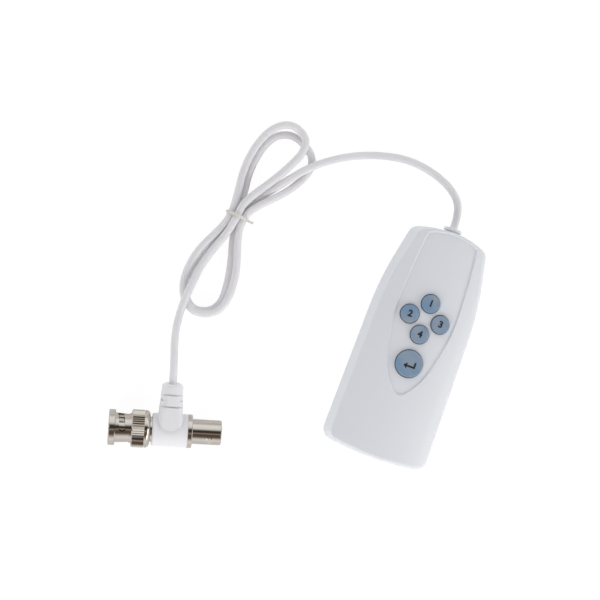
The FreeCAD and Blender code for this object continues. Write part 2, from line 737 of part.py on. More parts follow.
def contact_plate(side):
    # A plate behind the cell's end, with a tab that runs back to the board's edge.
    outer = BAY_HALF_WIDTH - FIT_GAP
    inner = outer - CONTACT_THICKNESS
    x0, x1 = (inner, outer) if side > 0 else (-outer, -inner)
    half = CONTACT_HALF_SIDE
    plate = block(x0, x1, CELL_Y - half, CELL_Y + half, CELL_Z - half, CELL_Z + half)
    low, high = tab_heights(0)
    tab = block(x0, x1, CELL_Y, BOARD_START_Y + 2, low, high)
    return plate.fuse(tab)


def positive_contact():
    nub = cell_ends()[0]
    dimple = rod(2.0, Vector(nub - CONTACT_DIMPLE, CELL_Y, CELL_Z), CONTACT_DIMPLE, X_AXIS)
    return contact_plate(-1).fuse(dimple)


def battery_spring():
    # A coil spring with closed ends that presses the cell's flat end.
    start = cell_ends()[1] + SPRING_WIRE / 2
    end = BAY_HALF_WIDTH - FIT_GAP - CONTACT_THICKNESS - SPRING_WIRE / 2
    closed = SPRING_WIRE + SEAT_GAP
    corner_radius = SPRING_RADIUS / math.cos(math.pi / SPRING_CORNERS)
    points = []
    for step in range(SPRING_TURNS * SPRING_CORNERS + 1):
        turn = step / SPRING_CORNERS
        open_share = min(max((turn - 1) / (SPRING_TURNS - 2), 0), 1)
        rise = closed * (min(turn, 1) + max(turn - SPRING_TURNS + 1, 0))
        x = start + rise + open_share * (end - start - 2 * closed)
        angle = 2 * math.pi * turn
        points.append((x, CELL_Y + corner_radius * math.cos(angle), CELL_Z + corner_radius * math.sin(angle)))
    return routed(points, SPRING_WIRE)


def cable_grommet():
    inner_face = TOP_Y - WALL - GROMMET_PLAY
    inner = rod(GROMMET_RADIUS, Vector(0, inner_face - GROMMET_FLANGE, CORD_HEIGHT), GROMMET_FLANGE, Y_AXIS)
    neck_start = Vector(0, inner_face - 0.1, CORD_HEIGHT)
    neck = rod(GROMMET_NECK_RADIUS, neck_start, TOP_Y + GROMMET_STAND_OFF - inner_face + 0.2, Y_AXIS)
    outer_start = Vector(0, TOP_Y + GROMMET_STAND_OFF, CORD_HEIGHT)
    outer = rod(GROMMET_RADIUS, outer_start, GROMMET_FLANGE, Y_AXIS)
    rim = [edge for edge in outer.Edges if edge.Length > 2]
    outer = outer.makeFillet(0.35, rim)
    bore = rod(CORD_DIAMETER / 2 + 0.02, Vector(0, inner_face - 5, CORD_HEIGHT), 20, Y_AXIS)
    return joined([inner, neck, outer]).cut(bore)


def stub_start():
    return TOP_Y - WALL - BOARD_END_GAP - 1.0


def cord_stub():
    # The cord's jacket inside the grommet, cut back where its wires spread.
    start = Vector(0, stub_start(), CORD_HEIGHT)
    return rod(CORD_DIAMETER / 2, start, CORD_START.y - start.y, Y_AXIS)


def routed(points, diameter):
    # A round tube along straight runs that are joined by tangent arcs.
    points = [Vector(*point) for point in points]
    edges = []
    last = points[0]
    radii = []
    for before, here, after in zip(points, points[1:], points[2:]):
        back = before - here
        ahead = after - here
        tangent = 0.45 * min(back.Length, ahead.Length)
        half_turn = (math.pi - back.getAngle(ahead)) / 2
        radius = tangent / math.tan(half_turn)
        radii.append(radius)
        start = here + back.normalize() * tangent
        end = here + ahead.normalize() * tangent
        inward = (back + ahead).normalize()
        middle = here + inward * (radius / math.cos(half_turn) - radius)
        edges.append(Part.LineSegment(last, start).toShape())
        edges.append(Part.Arc(start, middle, end).toShape())
        last = end
    edges.append(Part.LineSegment(last, points[-1]).toShape())
    total = sum(edge.Length for edge in edges)
    ring = Part.Wire(Part.makeCircle(diameter / 2, points[0], points[1] - points[0]))
    tube = Part.Wire(edges).makePipeShell([ring], True, False)
    section = math.pi * diameter ** 2 / 4
    print("  length %.1f smallest radius %.1f volume ratio %.4f"
          % (total, min(radii), tube.Volume / section / total))
    return tube


def stub_wire(side):
    # One of the two wires from the cord's end up to the board's under side.
    start = stub_start()
    x = side * 0.75
    solder_height = BOARD_BOTTOM - 0.4 * WIRE_DIAMETER
    route = [(x, start, CORD_HEIGHT), (x, start - 1.6, CORD_HEIGHT), (x, start - 3.0, solder_height)]
    return routed(route, WIRE_DIAMETER)


def closed_curve(points, height):
    curve = Part.BSplineCurve()
    curve.interpolate([Vector(x, y, 0) for x, y in points], PeriodicFlag=True)
    return Part.Face(Part.Wire(curve.toShape())).extrude(Vector(0, 0, height))


def bundle_centre():
    return Vector(TIE_X, TIE_Y, BUNDLE_RADIUS + TIE_THICKNESS)


def cord_tie():
    # A twist tie round the waist of the hank, with its twisted ends at one side.
    centre = bundle_centre()
    start = centre - Vector(0, TIE_WIDTH / 2, 0)
    outer = BUNDLE_RADIUS + TIE_THICKNESS
    ring = rod(outer, start, TIE_WIDTH, Y_AXIS)
    ears = block(centre.x + outer - 0.4, centre.x + outer + 1.3,
                 start.y - 0.6, start.y + 0.8, centre.z - 0.6, centre.z + 0.6)
    return ring.fuse(ears).cut(rod(BUNDLE_RADIUS, start, TIE_WIDTH, Y_AXIS))


def cord_hank():
    # The outer shape of the tied loops: a flat figure of two eyes with a round waist.
    plate = closed_curve(HANK_OUTLINE, HANK_THICKNESS)
    eyes = [closed_curve(eye, HANK_THICKNESS) for eye in (UPPER_EYE, LOWER_EYE)]
    plate = plate.cut(eyes)
    start = bundle_centre() - Vector(0, BUNDLE_LENGTH / 2, 0)
    waist = rod(BUNDLE_RADIUS, start, BUNDLE_LENGTH, Y_AXIS)
    gap_start = bundle_centre() - Vector(0, TIE_WIDTH / 2, 0)
    gap = rod(4 * BUNDLE_RADIUS, gap_start, TIE_WIDTH, Y_AXIS)
    gap = gap.cut(rod(BUNDLE_RADIUS, gap_start, TIE_WIDTH, Y_AXIS))
    return plate.fuse(waist).cut(gap)


def tee_placement():
    # The tee rests on its knurl and on the jack's flange.
    turn = FreeCAD.Rotation(TEE_YAW, TEE_PITCH, TEE_ROLL)
    middle = (NECK_END + KNURL_END) / 2
    height = SLEEVE_KNURL_RADIUS / math.cos(math.radians(TEE_PITCH))
    height += middle * math.sin(math.radians(TEE_PITCH)) + 0.05
    return FreeCAD.Placement(Vector(TEE_X, TEE_Y, height), turn)


def in_tee(shape):
    shape = shape.copy()
    shape.Placement = tee_placement().multiply(shape.Placement)
    return shape


def knurl():
    # Straight ridges along the sleeve's grip.
    ring = []
    for index in range(KNURL_RIDGES):
        for share, radius in ((0.0, SLEEVE_KNURL_RADIUS), (0.5, SLEEVE_KNURL_RADIUS - KNURL_DEPTH)):
            angle = 2 * math.pi * (index + share) / KNURL_RIDGES
            ring.append(Vector(NECK_END, radius * math.cos(angle), radius * math.sin(angle)))
    face = Part.Face(Part.makePolygon(ring + ring[:1]))
    ridges = face.extrude(Vector(KNURL_END - NECK_END, 0, 0))
    ends = turned([
        (NECK_END, 0), (NECK_END, SLEEVE_KNURL_RADIUS - 0.5), (NECK_END + 0.7, SLEEVE_KNURL_RADIUS + 0.2),
        (KNURL_END, SLEEVE_KNURL_RADIUS + 0.2), (KNURL_END, 0)])
    return ridges.common(ends)


def bayonet_slot(start_angle):
    # A ramp that winds back through the neck and ends in a round seat.
    wires = []
    inner = JACK_RADIUS - 0.5
    outer = SLEEVE_RIM_RADIUS + 1
    for step in range(SLOT_STEPS + 1):
        angle = math.radians(start_angle + SLOT_TURN * step / SLOT_STEPS)
        middle = SLOT_START + (SLOT_SEAT - SLOT_START) * step / SLOT_STEPS
        out = Vector(0, math.cos(angle), math.sin(angle))
        corners = [
            Vector(middle - SLOT_WIDTH / 2, 0, 0) + out * inner,
            Vector(middle + SLOT_WIDTH / 2, 0, 0) + out * inner,
            Vector(middle + SLOT_WIDTH / 2, 0, 0) + out * outer,
            Vector(middle - SLOT_WIDTH / 2, 0, 0) + out * outer,
        ]
        wires.append(Part.makePolygon(corners + corners[:1]))
    ramp = Part.makeLoft(wires, True, True)
    angle = math.radians(start_angle + SLOT_TURN)
    out = Vector(0, math.cos(angle), math.sin(angle))
    seat = rod(SLOT_WIDTH / 2 + 0.15, Vector(SLOT_SEAT, 0, 0) + out * inner, outer - inner, out)
    return ramp.fuse(seat)


def coupling_sleeve():
    # The plug's turning sleeve: a rim, a slotted neck, a knurled grip and an inner lip.
    bore = JACK_RADIUS + SLEEVE_BORE_GAP
    edge = 0.3
    collar_start = NECK_END - SLEEVE_COLLAR_WIDTH
    outer = turned([
        (0, 0), (0, SLEEVE_RIM_RADIUS - edge), (edge, SLEEVE_RIM_RADIUS),
        (RIM_END - edge, SLEEVE_RIM_RADIUS), (RIM_END, SLEEVE_RIM_RADIUS - edge),
        (RIM_END, SLEEVE_NECK_RADIUS), (collar_start, SLEEVE_WAIST_RADIUS),
        (collar_start, SLEEVE_COLLAR_RADIUS), (NECK_END, SLEEVE_COLLAR_RADIUS), (NECK_END, 0)])
    shoulder_radius = SLEEVE_KNURL_RADIUS - 0.05
    shoulder = turned([
        (KNURL_END, 0), (KNURL_END, shoulder_radius - edge), (KNURL_END + edge, shoulder_radius - edge),
        (KNURL_END + edge, shoulder_radius), (SLEEVE_END, shoulder_radius), (SLEEVE_END, 0)])
    back = [rim for rim in shoulder.Edges if rim.BoundBox.XMin > SLEEVE_END - 0.01 and rim.Length > 20]
    shoulder = shoulder.makeFillet(SLEEVE_END - KNURL_END - 2 * edge, back)
    room = FLANGE_RADIUS + LOOSE_GAP
    lip_bore = SHANK_RADIUS + RUNNING_GAP
    recess = RING_RADIUS + LOOSE_GAP
    room_start = (GASKET_START + FLANGE_START) / 2
    hollow = turned([
        (-1, 0), (-1, bore), (room_start, bore), (room_start, room), (LIP_START, room),
        (LIP_START, lip_bore), (LIP_END, lip_bore), (LIP_END, recess), (SLEEVE_END + 1, recess),
        (SLEEVE_END + 1, 0)])
    sleeve = joined([outer, knurl(), shoulder]).cut(hollow)
    behind_rim = turned([
        (RIM_END, 0), (RIM_END, 2 * SLEEVE_RIM_RADIUS), (NECK_END, 2 * SLEEVE_RIM_RADIUS), (NECK_END, 0)])
    cutters = []
    for start in (SLOT_START_TURN, SLOT_START_TURN + 180):
        cutters.append(bayonet_slot(start).common(behind_rim))
        entry = block(-1, SLOT_START, -SLOT_WIDTH / 2, SLOT_WIDTH / 2,
                      0, LUG_TIP_RADIUS + FIT_GAP)
        entry.rotate(Vector(0, 0, 0), X_AXIS, start - 90)
        cutters.append(entry)
    return sleeve.cut(cutters)


def plug_body():
    # Slotted contact fingers, the flange that the gasket sits on, and the shank.
    body = turned([
        (FINGER_START, PLUG_BORE), (FINGER_START, FINGER_RADIUS), (FLANGE_START, FINGER_RADIUS),
        (FLANGE_START, FLANGE_RADIUS), (FLANGE_END, FLANGE_RADIUS), (FLANGE_END, SHANK_RADIUS),
        (RING_START, SHANK_RADIUS), (RING_START, SHANK_RADIUS - RING_GROOVE_DEPTH),
        (RING_END, SHANK_RADIUS - RING_GROOVE_DEPTH), (RING_END, SHANK_RADIUS),
        (SHANK_END, SHANK_RADIUS), (SHANK_END, PLUG_BORE)])
    slots = []
    for angle in (0, 90):
        slot = block(FINGER_START - 1, INSULATOR_START - 0.5, -0.25, 0.25, -10, 10)
        slot.rotate(Vector(0, 0, 0), X_AXIS, angle + 45)
        slots.append(slot)
    return body.cut(slots)


def plug_insulator():
    return turned([
        (INSULATOR_START, PIN_RADIUS), (INSULATOR_START, PLUG_BORE - SEAT_GAP),
        (SHANK_END, PLUG_BORE - SEAT_GAP), (SHANK_END, PIN_RADIUS)])


def plug_pin():
    return turned([
        (PIN_START, 0), (PIN_START + 0.9, PIN_RADIUS), (SHANK_END + PIN_TAIL, PIN_RADIUS),
        (SHANK_END + PIN_TAIL, 0)])


def plug_gasket():
    outer = JACK_RADIUS + SLEEVE_BORE_GAP - FIT_GAP
    return turned([
        (GASKET_START, FINGER_RADIUS), (GASKET_START, outer), (FLANGE_START, outer),
        (FLANGE_START, FINGER_RADIUS)])


def wave_washer():
    # A spring washer whose rim rises and falls three times in a turn.
    inner = SHANK_RADIUS + RUNNING_GAP
    outer = FLANGE_RADIUS - FIT_GAP
    wires = []
    steps = 24
    for step in range(steps):
        angle = 2 * math.pi * step / steps
        out = Vector(0, math.cos(angle), math.sin(angle))
        swing = (WAVE_HEIGHT - WAVE_THICKNESS) / 2
        x = FLANGE_END + SEAT_GAP + swing * (1 + math.cos(3 * angle))
        corners = [
            Vector(x, 0, 0) + out * inner, Vector(x, 0, 0) + out * outer,
            Vector(x + WAVE_THICKNESS, 0, 0) + out * outer, Vector(x + WAVE_THICKNESS, 0, 0) + out * inner]
        wires.append(Part.makePolygon(corners + corners[:1]))
    return Part.makeLoft(wires, True, True, True)


def thrust_washer():
    inner = SHANK_RADIUS + RUNNING_GAP
    end = LIP_START - SEAT_GAP
    return turned([
        (end - WASHER_THICKNESS, inner), (end - WASHER_THICKNESS, FLANGE_RADIUS),
        (end, FLANGE_RADIUS), (end, inner)])


def retaining_ring():
    # A split ring in the shank's groove, behind the sleeve's lip.
    inner = SHANK_RADIUS - RING_GROOVE_DEPTH + SEAT_GAP
    start = RING_START + SEAT_GAP
    end = RING_END - SEAT_GAP
    ring = turned([(start, inner), (start, RING_RADIUS), (end, RING_RADIUS), (end, inner)])
    return ring.cut(block(RING_START - 1, RING_END + 1, -10, 0, -0.5, 0.5))


def jack_shell():
    # The jack's barrel with its two lugs, and the flange against the moulding.
    flange_radius = HOUSING_RADIUS + 0.05
    barrel = turned([
        (JACK_TAIL_START, JACK_BORE_RADIUS), (JACK_TAIL_START, SHANK_RADIUS),
        (HOUSING_END, SHANK_RADIUS), (HOUSING_END, flange_radius),
        (JACK_FLANGE_END - 0.25, flange_radius), (JACK_FLANGE_END, flange_radius - 0.25),
        (JACK_FLANGE_END, JACK_RADIUS), (JACK_END - 0.3, JACK_RADIUS), (JACK_END, JACK_RADIUS - 0.3),
        (JACK_END, JACK_BORE_RADIUS)])
    lugs = []
    for side in (0, 180):
        angle = math.radians(LUG_TURN + side)
        out = Vector(0, math.cos(angle), math.sin(angle))
        start = Vector(JACK_END - LUG_FROM_END, 0, 0) + out * (JACK_BORE_RADIUS + 0.2)
        lugs.append(rod(LUG_RADIUS, start, LUG_TIP_RADIUS - JACK_BORE_RADIUS - 0.2, out))
    return joined([barrel] + lugs)


def jack_insulator():
    # The jack's insulator: a full plug at the back and a slim collar round the contact.
    start = JACK_TAIL_START
    step = JACK_FLANGE_END + 1.5
    end = JACK_END - 1.8
    collar = 2.35
    return turned([
        (start, SOCKET_RADIUS), (start, JACK_BORE_RADIUS), (step, JACK_BORE_RADIUS),
        (step, collar), (end, collar), (end, SOCKET_RADIUS)])


def jack_socket():
    # The hollow centre contact, split at its mouth.
    start = SOCKET_START
    mouth = JACK_END - 2.0
    floor = JACK_END - 7.0
    bore = PIN_RADIUS + SEAT_GAP
    body = turned([
        (start, 0), (start, SOCKET_RADIUS), (mouth, SOCKET_RADIUS), (mouth, bore),
        (floor, bore), (floor, 0)])
    split = block(floor + 2, JACK_END, -0.15, 0.15, -3, 3)
    return body.cut(split)


def centre_bridge():
    # The rod that joins the pin to the contact, with a lug for the cord's core.
    start = SHANK_END + PIN_TAIL
    bar = rod(PIN_RADIUS, Vector(start, 0, 0), SOCKET_START - start, X_AXIS)
    return bar.fuse(rod(0.5, Vector(HOUSING_MIDDLE, 0, 0), 6.0, Y_AXIS))


def shield_link():
    # The tube that joins the two metal ends, with a window for the cord.
    start = SHANK_END
    end = JACK_TAIL_START
    tube = turned([(start, PLUG_BORE), (start, LINK_RADIUS), (end, LINK_RADIUS), (end, PLUG_BORE)])
    window = rod(CORD_WINDOW_RADIUS, Vector(HOUSING_MIDDLE, 0, 0), 10, Y_AXIS)
    return tube.cut(window)


def boot_section(y, half_width, half_depth, corner):
    x0, x1 = HOUSING_MIDDLE - half_width, HOUSING_MIDDLE + half_width
    slab = block(x0, x1, y, y + 1, -half_depth, half_depth)
    slab = slab.makeFillet(corner, [edge for edge in slab.Edges if abs(edge.tangentAt(0).y) > 0.99])
    return min(slab.Faces, key=lambda face: face.CenterOfMass.y).OuterWire


def boot_form():
    # The boot, rounded where it stands proud of the moulding and at its far end.
    loft = Part.makeLoft([
        boot_section(-1.5, BOOT_HALF_WIDTH_FOOT, BOOT_HALF_DEPTH_FOOT, BOOT_CORNER_FOOT),
        boot_section(BOOT_LENGTH, BOOT_HALF_WIDTH_TOP, BOOT_HALF_WIDTH_TOP, BOOT_CORNER_TOP)], True, True)
    rim = [edge for edge in loft.Edges if edge.BoundBox.YMin > BOOT_LENGTH - 0.01]
    loft = loft.makeFillet(BOOT_END_RADIUS, rim)
    end_radius = BOOT_HALF_WIDTH_FOOT + LOOSE_GAP
    round_end = rod(end_radius, Vector(0, 0, -10), 20, Z_AXIS)
    stretch = FreeCAD.Matrix()
    stretch.scale(1.0, BOOT_ROOT_STRETCH, 1.0)
    reach = BOOT_ROOT_STRETCH * end_radius
    round_end = round_end.transformGeometry(stretch)
    round_end.translate(Vector(HOUSING_MIDDLE, reach, 0))
    above = block(HOUSING_START, HOUSING_END, reach, BOOT_LENGTH + 5, -10, 10)
    return loft.common(round_end.fuse(above))


def boot_grooves(boot):
    # Relief grooves that fade out: the outer two lie front and back, the middle one at the sides.
    shrink = 1 - GROOVE_DEPTH / BOOT_HALF_WIDTH_TOP
    to_origin = Vector(-HOUSING_MIDDLE, 0, 0)
    cutters = []
    for index in range(3):
        squeeze = FreeCAD.Matrix()
        squeeze.scale(*((shrink, 1.0, 1.0) if index == 1 else (1.0, 1.0, shrink)))
        y = BOOT_LENGTH - FIRST_GROOVE_FROM_TOP - index * GROOVE_PITCH
        slab = block(-10, 10, y - GROOVE_WIDTH / 2, y + GROOVE_WIDTH / 2, -10, 10)
        section = boot.common(slab.translated(-to_origin)).translated(to_origin)
        ring = slab.cut(section.transformGeometry(squeeze))
        if index == 1:
            ring = ring.cut(block(-GROOVE_BRIDGE, GROOVE_BRIDGE, y - 2, y + 2, -10, 10))
        cutters.append(ring.translated(-to_origin))
    return boot.cut(cutters)


def tee_housing():
    # The moulding round the tee's middle, with the boot that the cord enters.
    barrel = turned([
        (HOUSING_START, 0), (HOUSING_START, HOUSING_RADIUS - 0.5), (HOUSING_START + 0.5, HOUSING_RADIUS),
        (HOUSING_END, HOUSING_RADIUS), (HOUSING_END, 0)])
    core = turned([
        (HOUSING_START - 1, 0), (HOUSING_START - 1, SHANK_RADIUS), (SHANK_END, SHANK_RADIUS),
        (SHANK_END, LINK_RADIUS), (JACK_TAIL_START, LINK_RADIUS), (JACK_TAIL_START, SHANK_RADIUS),
        (HOUSING_END + 1, SHANK_RADIUS), (HOUSING_END + 1, 0)])
    solder_room = rod(CORD_WINDOW_RADIUS, Vector(HOUSING_MIDDLE, 0, 0), 6.5, Y_AXIS)
    return barrel.fuse(boot_grooves(boot_form())).cut([core, solder_room])


def boot_mouth(ahead):
    # The point on the boot's axis that is a distance ahead of its mouth.
    return tee_placement().multVec(Vector(HOUSING_MIDDLE, BOOT_LENGTH + ahead, 0))


def save(name, shape):
    solids = shape.Solids
    if len(solids) == 1 and shape.ShapeType == "Compound":
        shape = solids[0]
    box = shape.BoundBox
    print("%-22s solids %d valid %s volume %.2f  x %.1f %.1f y %.1f %.1f z %.2f %.2f" % (
        name, len(solids), shape.isValid(), shape.Volume,
        box.XMin, box.XMax, box.YMin, box.YMax, box.ZMin, box.ZMax))
    shape.exportStep("parts/%s.step" % name)


def save_handset():
    body = handset_body()
    hollow = cavity()
    save("front_shell", front_shell(body, hollow))
    save("rear_shell", rear_shell(body, hollow))
    save("battery_door", battery_door(body))
    save("circuit_board", circuit_board())
    for name, place in KEY_PLACES.items():
        save("key_" + name, key_cap(name))
        save("switch_body_" + name, switch_body(place))
        save("switch_plunger_" + name, switch_plunger(place))
    save("switch_pins", switch_pins())
    save("controller_chip", controller_chip())
    save("crystal", crystal())
    save("capacitor_left", capacitor(-1))
    save("capacitor_right", capacitor(1))
    save("resistors", resistors())
    save("case_screws", Part.makeCompound([case_screw(place) for place in POST_PLACES]))
    save("battery_cell", battery_cell())
    save("battery_contact_plus", positive_contact())
    save("battery_contact_minus", contact_plate(1))
    save("battery_spring", battery_spring())
    save("cable_grommet", cable_grommet())
    save("cord_stub", cord_stub())
    save("core_wire", stub_wire(-1))
    save("screen_wire", stub_wire(1))


def save_cord():
    save("cord_lead", routed([tuple(CORD_START)] + LEAD_ROUTE, CORD_DIAMETER))
    save("cord_hank", cord_hank())
    boot_run = [tuple(boot_mouth(ahead)) for ahead in (CORD_RUN_TO_BOOT, 0)]
    save("cord_tail", routed(TAIL_ROUTE + boot_run, CORD_DIAMETER))
    save("cord_tie", cord_tie())


def save_tee():
    pieces = {
        "tee_housing": tee_housing(),
        "plug_body": plug_body(),
        "plug_insulator": plug_insulator(),
        "plug_pin": plug_pin(),
        "plug_gasket": plug_gasket(),
        "wave_washer": wave_washer(),
        "thrust_washer": thrust_washer(),
        "retaining_ring": retaining_ring(),
        "coupling_sleeve": coupling_sleeve(),
        "jack_shell": jack_shell(),
        "jack_insulator": jack_insulator(),
        "jack_socket": jack_socket(),
        "centre_bridge": centre_bridge(),
        "shield_link": shield_link(),
    }
    for name, shape in pieces.items():
        save(name, in_tee(shape))


save_handset()
save_cord()
save_tee()
print("boot mouth", boot_mouth(0))
print("tee origin", tee_placement().Base, "axis", tee_placement().Rotation.multVec(X_AXIS))
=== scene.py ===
import math

import bmesh
import bpy
from mathutils import Matrix, Vector


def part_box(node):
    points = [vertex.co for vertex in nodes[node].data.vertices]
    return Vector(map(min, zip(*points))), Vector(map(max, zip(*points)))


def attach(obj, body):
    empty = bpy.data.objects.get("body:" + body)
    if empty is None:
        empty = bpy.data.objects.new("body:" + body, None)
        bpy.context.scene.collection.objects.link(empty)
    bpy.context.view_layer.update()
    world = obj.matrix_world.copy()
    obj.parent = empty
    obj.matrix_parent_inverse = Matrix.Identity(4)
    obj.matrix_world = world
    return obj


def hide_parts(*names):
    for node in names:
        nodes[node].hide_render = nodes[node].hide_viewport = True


# A white menu keypad for a camera line: handset, tied cord and coaxial tee.
# Metres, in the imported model's frame. The handset lies along Y, its keys face +Z.

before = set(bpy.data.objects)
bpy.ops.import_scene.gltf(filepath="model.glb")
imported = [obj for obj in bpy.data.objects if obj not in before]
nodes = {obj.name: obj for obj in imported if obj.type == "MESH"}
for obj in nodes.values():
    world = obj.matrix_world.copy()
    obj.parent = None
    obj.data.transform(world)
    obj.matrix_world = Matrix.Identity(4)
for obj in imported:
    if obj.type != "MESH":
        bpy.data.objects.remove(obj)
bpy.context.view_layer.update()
print("frame loaded:", len(nodes), "nodes")

mm = 0.001


# Shader wiring

class Wire:
    # A shader socket that can be used in sums: each operator adds a Math node
    def __init__(self, tree, socket):
        self.tree = tree
        self.socket = socket

    def maths(self, operation, *values):
        node = self.tree.nodes.new("ShaderNodeMath")
        node.operation = operation
        for slot, value in zip(node.inputs, values):
            if isinstance(value, Wire):
                self.tree.links.new(value.socket, slot)
            else:
                slot.default_value = value
        return Wire(self.tree, node.outputs[0])

    def __add__(self, other):
        return self.maths("ADD", self, other)

    def __radd__(self, other):
        return self.maths("ADD", other, self)

    def __sub__(self, other):
        return self.maths("SUBTRACT", self, other)

    def __rsub__(self, other):
        return self.maths("SUBTRACT", other, self)

    def __mul__(self, other):
        return self.maths("MULTIPLY", self, other)

    def __rmul__(self, other):
        return self.maths("MULTIPLY", other, self)

    def __truediv__(self, other):
        return self.maths("DIVIDE", self, other)

    def __rtruediv__(self, other):
        return self.maths("DIVIDE", other, self)

    def above(self, edge):
        return self.maths("GREATER_THAN", self, edge)

    def below(self, edge):
        return self.maths("LESS_THAN", self, edge)

    def atMost(self, other):
        return self.maths("MINIMUM", self, other)

    def atLeast(self, other):
        return self.maths("MAXIMUM", self, other)

    def root(self):
        return self.maths("SQRT", self)

    def angleOver(self, other):
        # The angle whose tangent is this value over the other
        return self.maths("ARCTAN2", self, other)


class Bench:
    # A node tree, with one method that adds any node
    def __init__(self, tree):
        self.tree = tree

    def node(self, kind, settings=None, output=0, **sockets):
        made = self.tree.nodes.new("ShaderNode" + kind)
        for name, value in (settings or {}).items():
            if name == "stops":
                ramp = made.color_ramp
                while len(ramp.elements) < len(value):
                    ramp.elements.new(0.5)
                for element, (position, colour) in zip(ramp.elements, value):
                    element.position = position
                    element.color = (*colour, 1)
            else:
                setattr(made, name, value)
        for name, value in sockets.items():
            self.feed(made, name, value)
        return Wire(self.tree, made.outputs[output])

    def feed(self, node, name, value):
        # The socket goes by its name, or by i and its number
        numbered = name[0] == "i" and name[1:].isdigit()
        socket = node.inputs[int(name[1:]) if numbered else name.replace("_", " ")]
        if isinstance(value, Wire):
            self.tree.links.new(value.socket, socket)
        elif isinstance(value, tuple) and len(value) == 3 and socket.type == "RGBA":
            socket.default_value = (*value, 1)
        else:
            socket.default_value = value

    def parts(self, vector):
        # The three numbers of a vector
        split = self.node("SeparateXYZ", Vector=vector).socket.node
        return [Wire(self.tree, socket) for socket in split.outputs]


class Finish(Bench):
    # One material on the Principled shader
    def __init__(self, name, **sockets):
        self.material = bpy.data.materials.new(name)
        self.material.use_nodes = True
        super().__init__(self.material.node_tree)
        self.shader = self.tree.nodes["Principled BSDF"]
        self.place = self.node("TexCoord", output="Object")
        self.set(**sockets)

    def set(self, **sockets):
        for name, value in sockets.items():
            self.feed(self.shader, name, value)

    def noise(self, scale, detail=2.0, rough=0.5, vector=None):
        return self.node("TexNoise", Vector=vector or self.place, Scale=scale, Detail=detail,
                         Roughness=rough)

    def between(self, share, low, high):
        # A number that goes from low to high with the share
        return share * (high - low) + low

    def colours(self, share, first, second):
        return self.node("Mix", {"data_type": "RGBA"}, output=2, i0=share, i6=first, i7=second)

    def bump(self, height, strength, distance):
        self.set(Normal=self.node("Bump", Height=height, Strength=strength, Distance=distance))


def frameOf(finish, origin, axes):
    # Object coordinates in a frame of their own, such as the tee's axis
    angles = Matrix(axes).transposed().to_3x3().to_euler()
    return finish.node("Mapping", {"vector_type": "TEXTURE"}, Vector=finish.place,
                       Location=tuple(origin), Rotation=tuple(angles), Scale=(1, 1, 1))


def wear(finish, node):
    mesh = nodes[node].data
    if not mesh.materials:
        mesh.materials.append(finish.material)
    for index in range(len(mesh.materials)):
        mesh.materials[index] = finish.material


# Camera, at the photograph's place

photo = {
    "pixels": 600,
    "scale": 0.000394,         # metres in a pixel, on the floor at the picture's middle
    "cameraHeight": 0.626,
    "cameraFoot": (175, 330),  # the pixel that the camera stands over
    "handsetFoot": (370.478, 457.164),  # the pixel of the handset's foot, at the seam
    "seamHeight": 0.009,
    "handsetTurn": 20.2,       # degrees to the right of the picture's upright
    "halfLength": 0.04665,
    "sensor": 0.036,
}


def placeCamera():
    scale, size = photo["scale"], photo["pixels"]
    middle = size / 2
    camera = Vector(((photo["cameraFoot"][0] - middle) * scale,
                     (middle - photo["cameraFoot"][1]) * scale, photo["cameraHeight"]))
    ahead = -camera.normalized()
    across = ahead.cross(Vector((0, 1, 0))).normalized()
    upward = across.cross(ahead)
    reach = camera.length / scale
    u, v = photo["handsetFoot"]
    ray = ahead * reach + across * (u - middle) + upward * (middle - v)
    foot = camera + ray * ((photo["seamHeight"] - camera.z) / ray.z)
    foot.z = 0
    turn = Matrix.Rotation(math.radians(photo["handsetTurn"]), 3, "Z")
    shift = Vector((0, -photo["halfLength"], 0))
    axes = [turn @ axis for axis in (across, upward, -ahead)]
    data = bpy.data.cameras.new("photoCamera")
    data.sensor_width = photo["sensor"] * 1000
    data.lens = reach / size * photo["sensor"] * 1000
    data.clip_start = 0.01
    data.clip_end = 10
    made = bpy.data.objects.new("photoCamera", data)
    place = Matrix.Translation(turn @ (camera - foot) + shift)
    made.matrix_world = place @ Matrix(axes).transposed().to_4x4()
    bpy.context.scene.collection.objects.link(made)
    bpy.context.scene.camera = made
    return made


camera = placeCamera()
print("camera at", [round(x, 4) for x in camera.matrix_world.translation])


# The cord, as one strand from the handset to the boot

